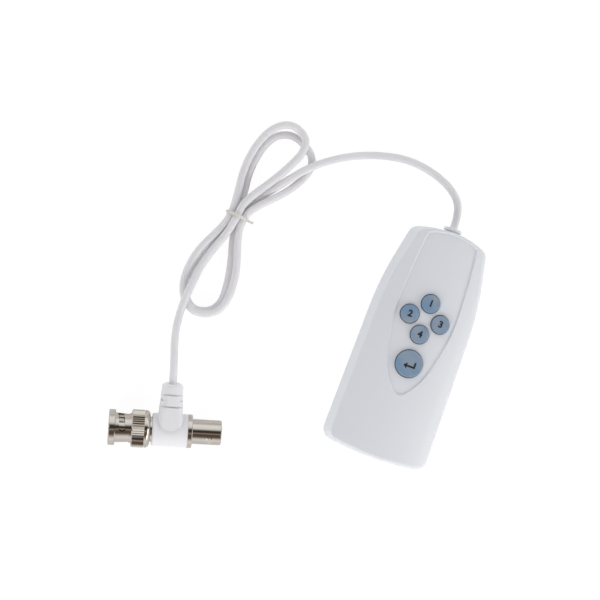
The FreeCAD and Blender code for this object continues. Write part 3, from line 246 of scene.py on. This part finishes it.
cord = {
    "diameter": 3.0 * mm,
    "sides": 8, "steps": 10,   # fineness round the cord, and between two points
    # The places below are in millimetres
    "tie": (-80.95, 23.6),
    "lead": [
        (0, 48.12, 9.0), (0, 55.8, 9.0), (-4.6, 62.2, 7.3), (-13.2, 66.6, 4.4), (-24.6, 68.6, 2.2),
        (-36.4, 66.3, 1.6), (-47.6, 61.6, 2.4), (-57.4, 54.7, 4.6), (-62.6, 49.6, 4.7),
        (-66.6, 44.6, 4.5), (-71.4, 38.6, 3.4), (-76.3, 32.2, 2.2),
    ],
    "tail": [
        (-82.1, 16.8, 5.9), (-85.3, 8.5, 4.9), (-87.6, 0.6, 5.2), (-88.6, -9.5, 7.4),
        (-89.0, -18.0, 7.8), (-87.9, -28.0, 9.4), (-83.83, -39.46, 11.27), (-81.904, -46.076, 10.055),
    ],
    # Where each pass lies in the tie: across, and height
    "passes": [(-79.45, 2.74), (-82.45, 2.74), (-78.52, 5.59), (-83.38, 5.59), (-80.95, 7.35)],
    # Each half loop: root across, length, half width, sharpness, heading, lean, skew, heights
    "loops": [
        {"root": -80.75, "length": 41.2, "width": 14.0, "sharp": 2.24, "heading": -98.4, "lean": 2.36,
         "skew": 0.18, "heights": (1.7, 1.5, 1.5, 1.5, 1.5, 1.5, 2.9)},
        {"root": -80.2, "length": 39.8, "width": 17.1, "sharp": 1.63, "heading": 82.4, "lean": -4.32,
         "skew": -0.33, "heights": (2.2, 1.5, 1.5, 1.5, 1.5, 2.3, 5.6)},
        {"root": -81.05, "length": 41.9, "width": 14.7, "sharp": 1.22, "heading": -99.5, "lean": 4.10,
         "skew": 0.13, "heights": (4.8, 4.4, 4.5, 4.6, 4.6, 4.6, 4.9)},
        {"root": -82.7, "length": 42.1, "width": 15.0, "sharp": 1.99, "heading": 91.2, "lean": -10.54,
         "skew": -0.36, "heights": (4.9, 4.5, 4.4, 4.6, 5.0, 5.0, 6.4)},
    ],
}


def halfLoop(loop):
    # Seven points of a drop shape that leaves the tie on one side and returns on the other
    heading = math.radians(loop["heading"])
    along = Vector((math.cos(heading), math.sin(heading)))
    aside = Vector((-along.y, along.x))
    root = Vector((loop["root"], cord["tie"][1]))
    points = []
    for step, height in enumerate(loop["heights"], start=1):
        angle = 2 * math.pi * step / (len(loop["heights"]) + 1)
        reach = loop["length"] * (1 - math.cos(angle)) / 2
        swing = loop["width"] * math.sin(angle) * math.sin(angle / 2) ** loop["sharp"]
        swing *= 1 + loop["skew"] if swing > 0 else 1 - loop["skew"]
        swing += loop["lean"] * (reach / loop["length"]) ** 2
        spot = root + along * reach + aside * swing
        points.append((spot.x, spot.y, height))
    return points


def cordPoints():
    points = list(cord["lead"])
    ties = [(across, cord["tie"][1], height) for across, height in cord["passes"]]
    for tie, loop in zip(ties, cord["loops"]):
        points.append(tie)
        points += halfLoop(loop)
    points.append(ties[-1])
    return points + cord["tail"]


def strand(name, points, diameter):
    curve = bpy.data.curves.new(name, "CURVE")
    curve.dimensions = "3D"
    curve.bevel_depth = diameter / 2
    curve.bevel_resolution = cord["sides"]
    curve.resolution_u = cord["steps"]
    spline = curve.splines.new("NURBS")
    spline.points.add(len(points) - 1)
    for target, point in zip(spline.points, points):
        target.co = (*(value * mm for value in point), 1)
    spline.order_u = 3
    spline.use_endpoint_u = True
    made = bpy.data.objects.new(name, curve)
    bpy.context.scene.collection.objects.link(made)
    return made


cordStrand = strand("cordStrand", cordPoints(), cord["diameter"])
print("cord laid with", len(cordPoints()), "points")


# The twist tie round the strands, with its twisted ends

tieLook = {
    "width": 1.35 * mm, "thickness": 0.42 * mm, "corner": 0.14 * mm, "play": 0.04 * mm, "tilt": 5.0,
    "tail": 2.6 * mm, "turns": 2.2, "tailRadius": 0.34 * mm, "tailWire": 0.36 * mm,
    "nub": 0.62 * mm, "nubShape": (0.8, 1.15, 0.9), "nubShift": (-0.25 * mm, 0, 0.3 * mm),
    "steps": 90,
}


def settled(thing, name):
    # The evaluated shape as a plain mesh object at the origin
    bpy.context.view_layer.update()
    mesh = bpy.data.meshes.new_from_object(thing.evaluated_get(bpy.context.evaluated_depsgraph_get()))
    mesh.transform(thing.matrix_world)
    bpy.data.objects.remove(thing)
    made = bpy.data.objects.new(name, mesh)
    bpy.context.scene.collection.objects.link(made)
    return made


def bunchOutline():
    # The tight line round all strands in the tie, as seen along the cord
    steps = tieLook["steps"]
    reach = cord["diameter"] / 2 + tieLook["thickness"] / 2 + tieLook["play"]
    points = []
    for step in range(steps):
        angle = 2 * math.pi * step / steps
        way = Vector((math.cos(angle), math.sin(angle)))
        centre = max((Vector(place) * mm for place in cord["passes"]), key=lambda spot: spot.dot(way))
        points.append(centre + way * reach)
    return points


def formTree(name, wanted):
    # An empty Geometry Nodes tree with named number inputs
    tree = bpy.data.node_groups.new(name, "GeometryNodeTree")
    tree.interface.new_socket("Geometry", in_out="INPUT", socket_type="NodeSocketGeometry")
    for label, value in wanted.items():
        number = tree.interface.new_socket(label, in_out="INPUT", socket_type="NodeSocketFloat")
        number.default_value = value
    tree.interface.new_socket("Geometry", in_out="OUTPUT", socket_type="NodeSocketGeometry")
    return tree, tree.nodes.new("NodeGroupInput"), tree.nodes.new("NodeGroupOutput")


def formNode(tree, kind, settings=None, links=None, **values):
    made = tree.nodes.new("GeometryNode" + kind)
    for name, value in (settings or {}).items():
        setattr(made, name, value)
    for name, value in values.items():
        made.inputs[name.replace("_", " ")].default_value = value
    for name, source in (links or {}).items():
        tree.links.new(source, made.inputs[name])
    return made


def tieTree(material, outline):
    look = tieLook
    tree, given, result = formTree("twistTie", {
        "Width": look["width"], "Thickness": look["thickness"], "Tail": look["tail"],
        "Tail Wire": look["tailWire"] / 2, "Nub": look["nub"]})
    numbers = given.outputs
    # The band: a soft-cornered strip that follows the outline
    facing = formNode(tree, "SetCurveNormal", {"mode": "FREE"}, {"Curve": numbers["Geometry"]},
                      Normal=(0, 1, 0))
    section = formNode(tree, "CurvePrimitiveQuadrilateral", None,
                       {"Width": numbers["Width"], "Height": numbers["Thickness"]})
    softened = formNode(tree, "FilletCurve", {"mode": "POLY"}, {"Curve": section.outputs[0]},
                        Count=3, Radius=look["corner"])
    pieces = [formNode(tree, "CurveToMesh", None,
                       {"Curve": facing.outputs[0], "Profile Curve": softened.outputs[0]})]
    # The twisted ends: two wires that wind round each other
    wire = formNode(tree, "CurvePrimitiveCircle", None, {"Radius": numbers["Tail Wire"]}, Resolution=10)
    right = max(outline, key=lambda point: point.x)
    for start in (0, math.pi):
        spiral = formNode(tree, "CurveSpiral", None, {"Height": numbers["Tail"]}, Resolution=20,
                          Rotations=look["turns"], Start_Radius=look["tailRadius"],
                          End_Radius=look["tailRadius"])
        turned = formNode(tree, "Transform", None, {"Geometry": spiral.outputs[0]}, Rotation=(0, 0, start))
        placed = formNode(tree, "Transform", None, {"Geometry": turned.outputs[0]},
                          Rotation=(0, math.pi / 2, 0), Translation=(right.x, 0, right.y))
        pieces.append(formNode(tree, "CurveToMesh", None,
                               {"Curve": placed.outputs[0], "Profile Curve": wire.outputs[0]},
                               Fill_Caps=True))
    # The nub, where the band folds back on the left
    left = min(outline, key=lambda point: point.x)
    ball = formNode(tree, "MeshIcoSphere", None, {"Radius": numbers["Nub"]}, Subdivisions=3)
    spot = Vector((left.x, 0, left.y)) + Vector(look["nubShift"])
    pieces.append(formNode(tree, "Transform", None, {"Geometry": ball.outputs[0]},
                           Scale=look["nubShape"], Translation=tuple(spot)))
    joined = formNode(tree, "JoinGeometry")
    for piece in pieces:
        tree.links.new(piece.outputs[0], joined.inputs[0])
    smooth = formNode(tree, "SetShadeSmooth", None, {"Geometry": joined.outputs[0]})
    real = formNode(tree, "RealizeInstances", None, {"Geometry": smooth.outputs[0]})
    painted = formNode(tree, "SetMaterial", None, {"Geometry": real.outputs[0]}, Material=material)
    tree.links.new(painted.outputs[0], result.inputs[0])
    return tree


def twistTie(material):
    outline = bunchOutline()
    curve = bpy.data.curves.new("tiePath", "CURVE")
    curve.dimensions = "3D"
    path = curve.splines.new("POLY")
    path.points.add(len(outline) - 1)
    for target, point in zip(path.points, outline):
        target.co = (point.x, 0, point.y, 1)
    path.use_cyclic_u = True
    thing = bpy.data.objects.new("tiePath", curve)
    bpy.context.scene.collection.objects.link(thing)
    thing.modifiers.new("form", "NODES").node_group = tieTree(material, outline)
    across, along = (value * mm for value in cord["tie"])
    tilt = Matrix.Rotation(math.radians(-tieLook["tilt"]), 4, "Z")
    thing.matrix_world = (Matrix.Translation((across, along, 0)) @ tilt
                          @ Matrix.Translation((-across, 0, 0)))
    return settled(thing, "twistTie")


# Finishes

teeFrame = {
    "origin": (-99.4 * mm, -70.2 * mm, 7.807 * mm),
    "axis": (0.957551, 0.285458, -0.040132),
}


def teeAxes():
    along = Vector(teeFrame["axis"]).normalized()
    upward = (Vector((0, 0, 1)) - along * along.z).normalized()
    return [along, upward.cross(along), upward]


# In the finishes, cloud, patch, polish and pads are scales of a pattern, and gloss and coat go
# from low to high. A relief, such as grain, has its scale, the bump's strength and its depth.
shellLook = {
    "colour": (0.80, 0.828, 0.872), "shade": (0.765, 0.796, 0.845), "cloud": 22,
    "polish": 90, "gloss": (0.30, 0.40), "coat": (0.08, 0.20), "grain": (2600, 0.035, 0.04 * mm),
}


def shellFinish():
    # Satin white housing plastic: spark-eroded grain, faint clouding in colour and gloss
    look = shellLook
    made = Finish("shellPlastic", Specular_IOR_Level=0.5, Coat_Roughness=0.12)
    cloud = made.noise(look["cloud"], 3.0)
    made.set(Base_Color=made.colours(cloud, look["shade"], look["colour"]))
    made.set(Roughness=made.between(made.noise(look["polish"], 4.0), *look["gloss"]))
    made.set(Coat_Weight=made.between(cloud, *look["coat"]))
    made.bump(made.noise(look["grain"][0], 3.0, 0.6), *look["grain"][1:])
    return made


keyLook = {
    "colour": (0.190, 0.305, 0.450), "worn": (0.290, 0.350, 0.430),
    "patch": 170, "patchEdges": (0.35, 0.65), "gloss": (0.42, 0.56), "grain": (3800, 0.08, 0.04 * mm),
}


def keyFinish():
    # Moulded rubber-like key caps, greyer where fingers polish them
    look = keyLook
    made = Finish("keyRubber", Specular_IOR_Level=0.42)
    patch = made.node("MapRange", Value=made.noise(look["patch"], 2.0),
                      From_Min=look["patchEdges"][0], From_Max=look["patchEdges"][1])
    made.set(Base_Color=made.colours(patch, look["colour"], look["worn"]))
    made.set(Roughness=made.between(patch, *look["gloss"]))
    made.bump(made.noise(look["grain"][0], 2.0), *look["grain"][1:])
    return made


jacketLook = {
    "colour": (0.835, 0.835, 0.86), "shade": (0.785, 0.785, 0.815), "cloud": 60,
    "polish": 180, "gloss": (0.30, 0.44), "ripple": (420, 0.12, 0.06 * mm), "depth": 1.2 * mm,
}


def jacketFinish():
    # Soft white cord jacket with a slight ripple from the extruder
    look = jacketLook
    made = Finish("cordJacket", Specular_IOR_Level=0.5, Subsurface_Weight=0.35,
                  Subsurface_Scale=look["depth"], Subsurface_Radius=(1.0, 1.0, 1.0))
    made.set(Base_Color=made.colours(made.noise(look["cloud"], 3.0), look["shade"], look["colour"]))
    made.set(Roughness=made.between(made.noise(look["polish"], 3.0), *look["gloss"]))
    made.bump(made.noise(look["ripple"][0], 3.0), *look["ripple"][1:])
    return made


mouldingLook = {
    # the darker colour here is painted shade for the crease round the boot's end
    "colour": (0.865, 0.87, 0.90), "shade": (0.82, 0.825, 0.855), "paintedShade": (0.70, 0.715, 0.76),
    "cloud": 110, "polish": 300, "gloss": (0.34, 0.48), "grain": (1400, 0.10, 0.05 * mm),
    "depth": 1.0 * mm,
    # the boot's round end, from the plug's mouth, and how far and how strongly the painted shade in the
    # crease reaches
    "middle": 23.55 * mm, "halfWidth": 5.1 * mm, "endReach": 6.375 * mm,
    "paintedShadeWidth": 0.30, "paintedShadeShare": 0.8,
}


def mouldingFinish():
    # The tee's overmoulding: soft vinyl, slightly blotchy, with painted shade in the crease round the
    # boot's end
    look = mouldingLook
    made = Finish("teeMoulding", Specular_IOR_Level=0.5, Subsurface_Weight=0.2,
                  Subsurface_Scale=look["depth"], Subsurface_Radius=(1.0, 1.0, 1.0))
    along, upward = made.parts(frameOf(made, teeFrame["origin"], teeAxes()))[:2]
    across = (along - look["middle"]) / look["halfWidth"]
    below = ((upward - look["endReach"]) / look["endReach"]).atMost(0.0)
    outside = (across * across + below * below).root() - 1.0
    # painted shade: the housing is darkened just outside the boot's round end, where shade falls in the
    # crease
    paintedShade = ((1.0 - outside / look["paintedShadeWidth"]) * outside.above(0.0)).atLeast(0.0)
    plain = made.colours(made.noise(look["cloud"], 3.0), look["shade"], look["colour"])
    made.set(Base_Color=made.colours(paintedShade * look["paintedShadeShare"], plain, look["paintedShade"]))
    made.set(Roughness=made.between(made.noise(look["polish"], 3.0), *look["gloss"]))
    made.bump(made.noise(look["grain"][0], 3.0), *look["grain"][1:])
    return made


paperLook = {
    "colour": (0.79, 0.79, 0.75), "shade": (0.70, 0.70, 0.66), "gloss": (0.50, 0.68),
    "folds": (260, 0.3, 0.08 * mm),
}


def tieFinish():
    # Papery twist tie, creased across its length
    look = paperLook
    made = Finish("tiePaper", Specular_IOR_Level=0.35)
    folds = made.node("TexWave", {"wave_type": "BANDS", "bands_direction": "X"}, Vector=made.place,
                      Scale=look["folds"][0], Distortion=3.0, Detail=2.0)
    made.set(Base_Color=made.colours(folds, look["shade"], look["colour"]))
    made.set(Roughness=made.between(folds, *look["gloss"]))
    made.bump(folds, *look["folds"][1:])
    return made


nickelLook = {
    "colour": (0.61, 0.57, 0.52), "dull": (0.52, 0.48, 0.43), "cloud": 500,
    "polish": 900, "gloss": (0.06, 0.13), "lathe": (260, 0.05, 0.02 * mm),
}


def nickelFinish():
    # Plated turned metal: lathe rings round the tee's axis, and cloudy plating
    look = nickelLook
    made = Finish("nickelPlate", Metallic=1.0, Specular_IOR_Level=0.5)
    turned = frameOf(made, teeFrame["origin"], teeAxes())
    rings = made.node("TexWave", {"wave_type": "BANDS", "bands_direction": "X"}, Vector=turned,
                      Scale=look["lathe"][0], Distortion=1.5, Detail=3.0, Detail_Scale=2.0)
    cloud = made.noise(look["cloud"], 4.0, 0.6, vector=turned)
    made.set(Base_Color=made.colours(cloud, look["dull"], look["colour"]))
    made.set(Roughness=made.between(made.noise(look["polish"], 3.0, vector=turned), *look["gloss"]))
    made.bump(rings, *look["lathe"][1:])
    return made


boardLook = {
    "mask": (0.010, 0.085, 0.032), "track": (0.022, 0.16, 0.06), "pad": (0.5, 0.5, 0.46),
    "tracks": (120, 0.25, 0.04 * mm), "pads": 300, "padSize": 0.03, "padShare": 0.35,
    "polish": 500, "gloss": (0.28, 0.42),
}


def boardFinish():
    # Green solder mask over copper tracks, with a bare pad here and there
    look = boardLook
    made = Finish("boardMask", Specular_IOR_Level=0.5)
    flat = made.node("Mapping", Vector=made.place, Scale=(1, 1, 0))
    tracks = made.node("TexBrick", {"offset": 0.5, "squash": 1.0}, output=1, Vector=flat,
                       Scale=look["tracks"][0], Mortar_Size=0.09, Brick_Width=1.3, Row_Height=0.55)
    pads = made.node("TexVoronoi", {"feature": "DISTANCE_TO_EDGE"}, Vector=flat, Scale=look["pads"])
    bare = pads.below(look["padSize"]) * look["padShare"]
    mask = made.colours(tracks, look["mask"], look["track"])
    made.set(Base_Color=made.colours(bare, mask, look["pad"]))
    made.set(Roughness=made.between(made.noise(look["polish"], 2.0), *look["gloss"]))
    made.bump(tracks, *look["tracks"][1:])
    return made


cellLook = {
    "sleeve": (0.018, 0.018, 0.02), "band": (0.52, 0.24, 0.09), "scuff": (0.12, 0.12, 0.13),
    "bandEnd": -9.5 * mm, "cloud": 300, "scuffShare": 0.2, "polish": 500, "gloss": (0.2, 0.34),
}


def cellFinish():
    # The cell's plain sleeve: a copper band by the nub, then black
    look = cellLook
    made = Finish("cellSleeve", Specular_IOR_Level=0.5)
    band = made.parts(made.place)[0].below(look["bandEnd"])
    sleeve = made.colours(band, look["sleeve"], look["band"])
    scuffs = made.noise(look["cloud"], 3.0) * look["scuffShare"]
    made.set(Base_Color=made.colours(scuffs, sleeve, look["scuff"]))
    made.set(Roughness=made.between(made.noise(look["polish"], 3.0), *look["gloss"]))
    return made


# Small parts: two colours, the scale and detail of the cloud that mixes them, gloss, and any grain
smallLooks = {
    "contactGold": {"metal": 1.0, "colours": ((0.70, 0.49, 0.19), (0.83, 0.62, 0.27)),
                    "cloud": (700, 3.0), "gloss": (0.2, 0.36)},
    "springSteel": {"metal": 1.0, "colours": ((0.42, 0.42, 0.43), (0.58, 0.58, 0.59)),
                    "cloud": (800, 4.0), "gloss": (0.28, 0.45), "grain": (2600, 0.1, 0.03 * mm)},
    "aluminiumCan": {"metal": 1.0, "colours": ((0.62, 0.63, 0.65), (0.72, 0.73, 0.75)),
                     "cloud": (700, 3.0), "gloss": (0.25, 0.38)},
    "tinnedContact": {"metal": 1.0, "colours": ((0.60, 0.60, 0.58), (0.72, 0.72, 0.70)),
                      "cloud": (900, 3.0), "gloss": (0.22, 0.40)},
    "waxyInsulator": {"specular": 0.4, "colours": ((0.74, 0.73, 0.69), (0.80, 0.79, 0.755)),
                      "cloud": (400, 3.0), "gloss": (0.38, 0.55)},
    "gasketRubber": {"specular": 0.35, "colours": ((0.36, 0.05, 0.035), (0.46, 0.075, 0.05)),
                     "cloud": (900, 3.0), "gloss": (0.5, 0.7)},
    "chipEpoxy": {"specular": 0.4, "colours": ((0.014, 0.014, 0.016), (0.028, 0.028, 0.030)),
                  "cloud": (900, 4.0), "gloss": (0.45, 0.65), "grain": (3000, 0.15, 0.04 * mm)},
    "plungerNylon": {"specular": 0.45, "colours": ((0.50, 0.50, 0.48), (0.58, 0.58, 0.56)),
                     "cloud": (800, 3.0), "gloss": (0.4, 0.55)},
    "keyInk": {"specular": 0.4, "colours": ((0.012, 0.016, 0.026), (0.022, 0.028, 0.042)),
               "cloud": (1200, 3.0), "gloss": (0.45, 0.6)},
    "coreWire": {"specular": 0.4, "colours": ((0.42, 0.02, 0.015), (0.5, 0.035, 0.025)),
                 "cloud": (1200, 3.0), "gloss": (0.35, 0.5)},
}


def smallFinish(name):
    look = smallLooks[name]
    made = Finish(name, Metallic=look.get("metal", 0.0), Specular_IOR_Level=look.get("specular", 0.5))
    cloud = made.noise(*look["cloud"])
    made.set(Base_Color=made.colours(cloud, *look["colours"]))
    made.set(Roughness=made.between(cloud, *look["gloss"]))
    if "grain" in look:
        made.bump(made.noise(look["grain"][0], 2.0), *look["grain"][1:])
    return made


keyNames = ("top", "left", "right", "bottom", "confirm")
finishes = {
    "shellPlastic": shellFinish(), "keyRubber": keyFinish(), "cordJacket": jacketFinish(),
    "teeMoulding": mouldingFinish(), "tiePaper": tieFinish(), "nickelPlate": nickelFinish(),
    "boardMask": boardFinish(), "cellSleeve": cellFinish(),
}
finishes.update({name: smallFinish(name) for name in smallLooks})

# Each finish, and the nodes that wear it
wornBy = {
    "shellPlastic": ["front_shell", "rear_shell", "battery_door"],
    "keyRubber": ["key_" + name for name in keyNames],
    "chipEpoxy": ["switch_body_" + name for name in keyNames]
                 + ["controller_chip", "resistors", "screen_wire"],
    "plungerNylon": ["switch_plunger_" + name for name in keyNames],
    "tinnedContact": ["switch_pins", "battery_contact_plus", "battery_contact_minus"],
    "aluminiumCan": ["crystal", "capacitor_left", "capacitor_right"],
    "boardMask": ["circuit_board"],
    "springSteel": ["case_screws", "battery_spring", "wave_washer", "thrust_washer", "retaining_ring"],
    "cellSleeve": ["battery_cell"],
    "cordJacket": ["cord_stub", "cord_lead", "cord_hank", "cord_tail"],
    "coreWire": ["core_wire"],
    "teeMoulding": ["tee_housing", "cable_grommet"],
    "nickelPlate": ["plug_body", "coupling_sleeve", "jack_shell"],
    "contactGold": ["plug_pin", "jack_socket", "centre_bridge", "shield_link"],
    "waxyInsulator": ["plug_insulator", "jack_insulator"],
    "gasketRubber": ["plug_gasket"],
}
for name, wearers in wornBy.items():
    for node in wearers:
        wear(finishes[name], node)
cordStrand.data.materials.append(finishes["cordJacket"].material)
tie = twistTie(finishes["tiePaper"].material)
print("finishes on", len(nodes), "nodes")


# Key marks: plain numerals, and a return arrow on the large key

markLook = {"size": 3.5 * mm, "weight": 0.15 * mm, "lift": 0.02 * mm, "thick": 0.012 * mm}
keyMarks = {"top": "1", "left": "2", "right": "3", "bottom": "4"}


def keyTop(name):
    low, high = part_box("key_" + name)
    return Vector(((low.x + high.x) / 2, (low.y + high.y) / 2, high.z + markLook["lift"]))


def numeral(name, mark):
    letter = bpy.data.curves.new("mark_" + name, "FONT")
    letter.body = mark
    letter.size = markLook["size"]
    letter.align_x = "CENTER"
    letter.align_y = "CENTER"
    letter.offset = markLook["weight"]
    letter.extrude = markLook["thick"]
    letter.resolution_u = 6
    thing = bpy.data.objects.new("letter_" + name, letter)
    bpy.context.scene.collection.objects.link(thing)
    thing.location = keyTop(name)
    return settled(thing, "mark_" + name)


arrowLook = {
    "reach": 4.4 * mm, "rise": 2.1 * mm, "line": 0.75 * mm, "lowLift": 0.1 * mm,
    "head": 1.5 * mm, "spread": 0.8,   # the head's half width, as a share of its length
}


def returnArrow(name):
    # An arrow that comes down and turns to the left
    look = arrowLook
    line = look["line"] / 2
    left, right = -look["reach"] / 2, look["reach"] / 2
    top, low = look["rise"] / 2, look["lowLift"] - look["rise"] / 2
    neck, wing = left + look["head"], look["head"] * look["spread"]
    outline = [
        (right + line, top), (right - line, top), (right - line, low + line), (neck, low + line),
        (neck, low + wing), (left, low), (neck, low - wing), (neck, low - line), (right + line, low - line),
    ]
    place = keyTop(name)
    thick = markLook["thick"]
    corners = [place + Vector((x, y, z)) for z in (-thick, thick) for x, y in outline]
    count = len(outline)
    faces = [tuple(range(count)), tuple(range(2 * count - 1, count - 1, -1))]
    faces += [(i, i + count, (i + 1) % count + count, (i + 1) % count) for i in range(count)]
    mesh = bpy.data.meshes.new("mark_" + name)
    mesh.from_pydata(corners, [], faces)
    made = bpy.data.objects.new("mark_" + name, mesh)
    bpy.context.scene.collection.objects.link(made)
    bm = bmesh.new()
    bm.from_mesh(mesh)
    bmesh.ops.recalc_face_normals(bm, faces=bm.faces)
    bm.to_mesh(mesh)
    bm.free()
    return made


for name in keyNames:
    made = numeral(name, keyMarks[name]) if name in keyMarks else returnArrow(name)
    made.data.materials.append(finishes["keyInk"].material)
    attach(made, "key_" + name)
print("key marks made")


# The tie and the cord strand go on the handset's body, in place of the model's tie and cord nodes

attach(tie, "handset")
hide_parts("cord_tie")
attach(cordStrand, "handset")
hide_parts("cord_lead", "cord_hank", "cord_tail")


# Studio: pale floor, soft lamps, and a surround with pale bands either side of a dim ceiling

studio = {
    "floorSize": 3.0, "floorDrop": 0.1 * mm, "floorColour": (0.86, 0.86, 0.86), "floorRoughness": 0.9,
    # how much of what the camera sees is plain white, that white's level, and the floor's own light
    "floorGlow": 0.85, "floorWhite": 1.06, "floorShine": 0.15,
    # brightness and warmth of the surround by its angle from straight above, towards the picture's foot
    "bands": [(-85, 0.70, -0.05), (-65, 1.20, -0.05), (-40, 1.12, -0.05), (-27, 0.85, -0.05),
              (-20, 0.35, 0.1), (-14, 0.07, 0.3), (-2, 0.05, 0.3), (5, 0.10, 0.5), (11, 0.42, 0.4),
              (16, 0.30, 0.7), (21, 0.15, 1.0), (42, 0.15, 1.0), (50, 0.32, 0.2), (58, 0.60, -0.05),
              (70, 1.00, -0.05), (87, 1.05, -0.05)],
    "warm": (1.0, 0.66, 0.48),   # the surround's colour at a warmth of 1
    "lampAim": (-40 * mm, 0, 0),
    # bearing and height in degrees, bearing from the picture's right; distance and size in metres
    "lamps": {
        "keyLamp": {"bearing": -55, "height": 27, "distance": 1.0, "size": 0.5, "watts": 1.55},
        "rightLamp": {"bearing": -20, "height": 30, "distance": 1.0, "size": 0.5, "watts": 2.25},
        "footLamp": {"bearing": -130, "height": 35, "distance": 1.0, "size": 0.5, "watts": 3.1},
    },
}


def inPicture(bearing, height):
    # A direction given by its bearing from the picture's right and its height
    turn = Matrix.Rotation(math.radians(photo["handsetTurn"]), 3, "Z")
    around, up = math.radians(bearing), math.radians(height)
    return turn @ Vector((math.cos(around) * math.cos(up), math.sin(around) * math.cos(up), math.sin(up)))


def makeFloor():
    half, drop = studio["floorSize"] / 2, -studio["floorDrop"]
    mesh = bpy.data.meshes.new("studioFloor")
    mesh.from_pydata([(-half, -half, drop), (half, -half, drop), (half, half, drop), (-half, half, drop)],
                     [], [(0, 1, 2, 3)])
    made = bpy.data.objects.new("studioFloor", mesh)
    bpy.context.scene.collection.objects.link(made)
    paint = Finish("studioFloor", Base_Color=studio["floorColour"], Roughness=studio["floorRoughness"],
                   Emission_Color=(1, 1, 1), Emission_Strength=studio["floorShine"])
    white = paint.node("Emission", Color=(1, 1, 1), Strength=studio["floorWhite"])
    mix = paint.node("MixShader", i0=paint.node("LightPath") * studio["floorGlow"],
                     i1=Wire(paint.tree, paint.shader.outputs[0]), i2=white)
    paint.feed(paint.tree.nodes["Material Output"], "Surface", mix)
    mesh.materials.append(paint.material)


def makeSky():
    # White to the camera; to the object, bands by the angle from straight above
    world = bpy.data.worlds.new("studioSky")
    world.use_nodes = True
    sky = Bench(world.node_tree)
    way = sky.node("TexCoord", output="Generated")
    footward = sky.node("VectorMath", {"operation": "DOT_PRODUCT"}, output="Value",
                        i0=way, i1=inPicture(-90, 0))
    angle = footward.angleOver(sky.parts(way)[2])
    stops = [(0.5 + degrees / 360, [level * (1 - warmth * (1 - part)) for part in studio["warm"]])
             for degrees, level, warmth in studio["bands"]]
    bands = sky.node("ValToRGB", {"stops": stops}, i0=angle * (0.5 / math.pi) + 0.5)
    seen = sky.node("Mix", {"data_type": "RGBA"}, output=2,
                    i0=sky.node("LightPath"), i6=bands, i7=(1, 1, 1))
    sky.feed(world.node_tree.nodes["Background"], "Color", seen)
    bpy.context.scene.world = world


def makeLamps():
    aim = Vector(studio["lampAim"])
    for name, values in studio["lamps"].items():
        way = inPicture(values["bearing"], values["height"])
        data = bpy.data.lights.new(name, "AREA")
        data.shape = "SQUARE"
        data.size = values["size"]
        data.energy = values["watts"]
        made = bpy.data.objects.new(name, data)
        made.location = aim + way * values["distance"]
        made.rotation_mode = "QUATERNION"
        made.rotation_quaternion = way.to_track_quat("Z", "Y")
        bpy.context.scene.collection.objects.link(made)


makeFloor()
makeSky()
makeLamps()
bpy.context.scene.view_settings.view_transform = "Standard"
print("studio lit")
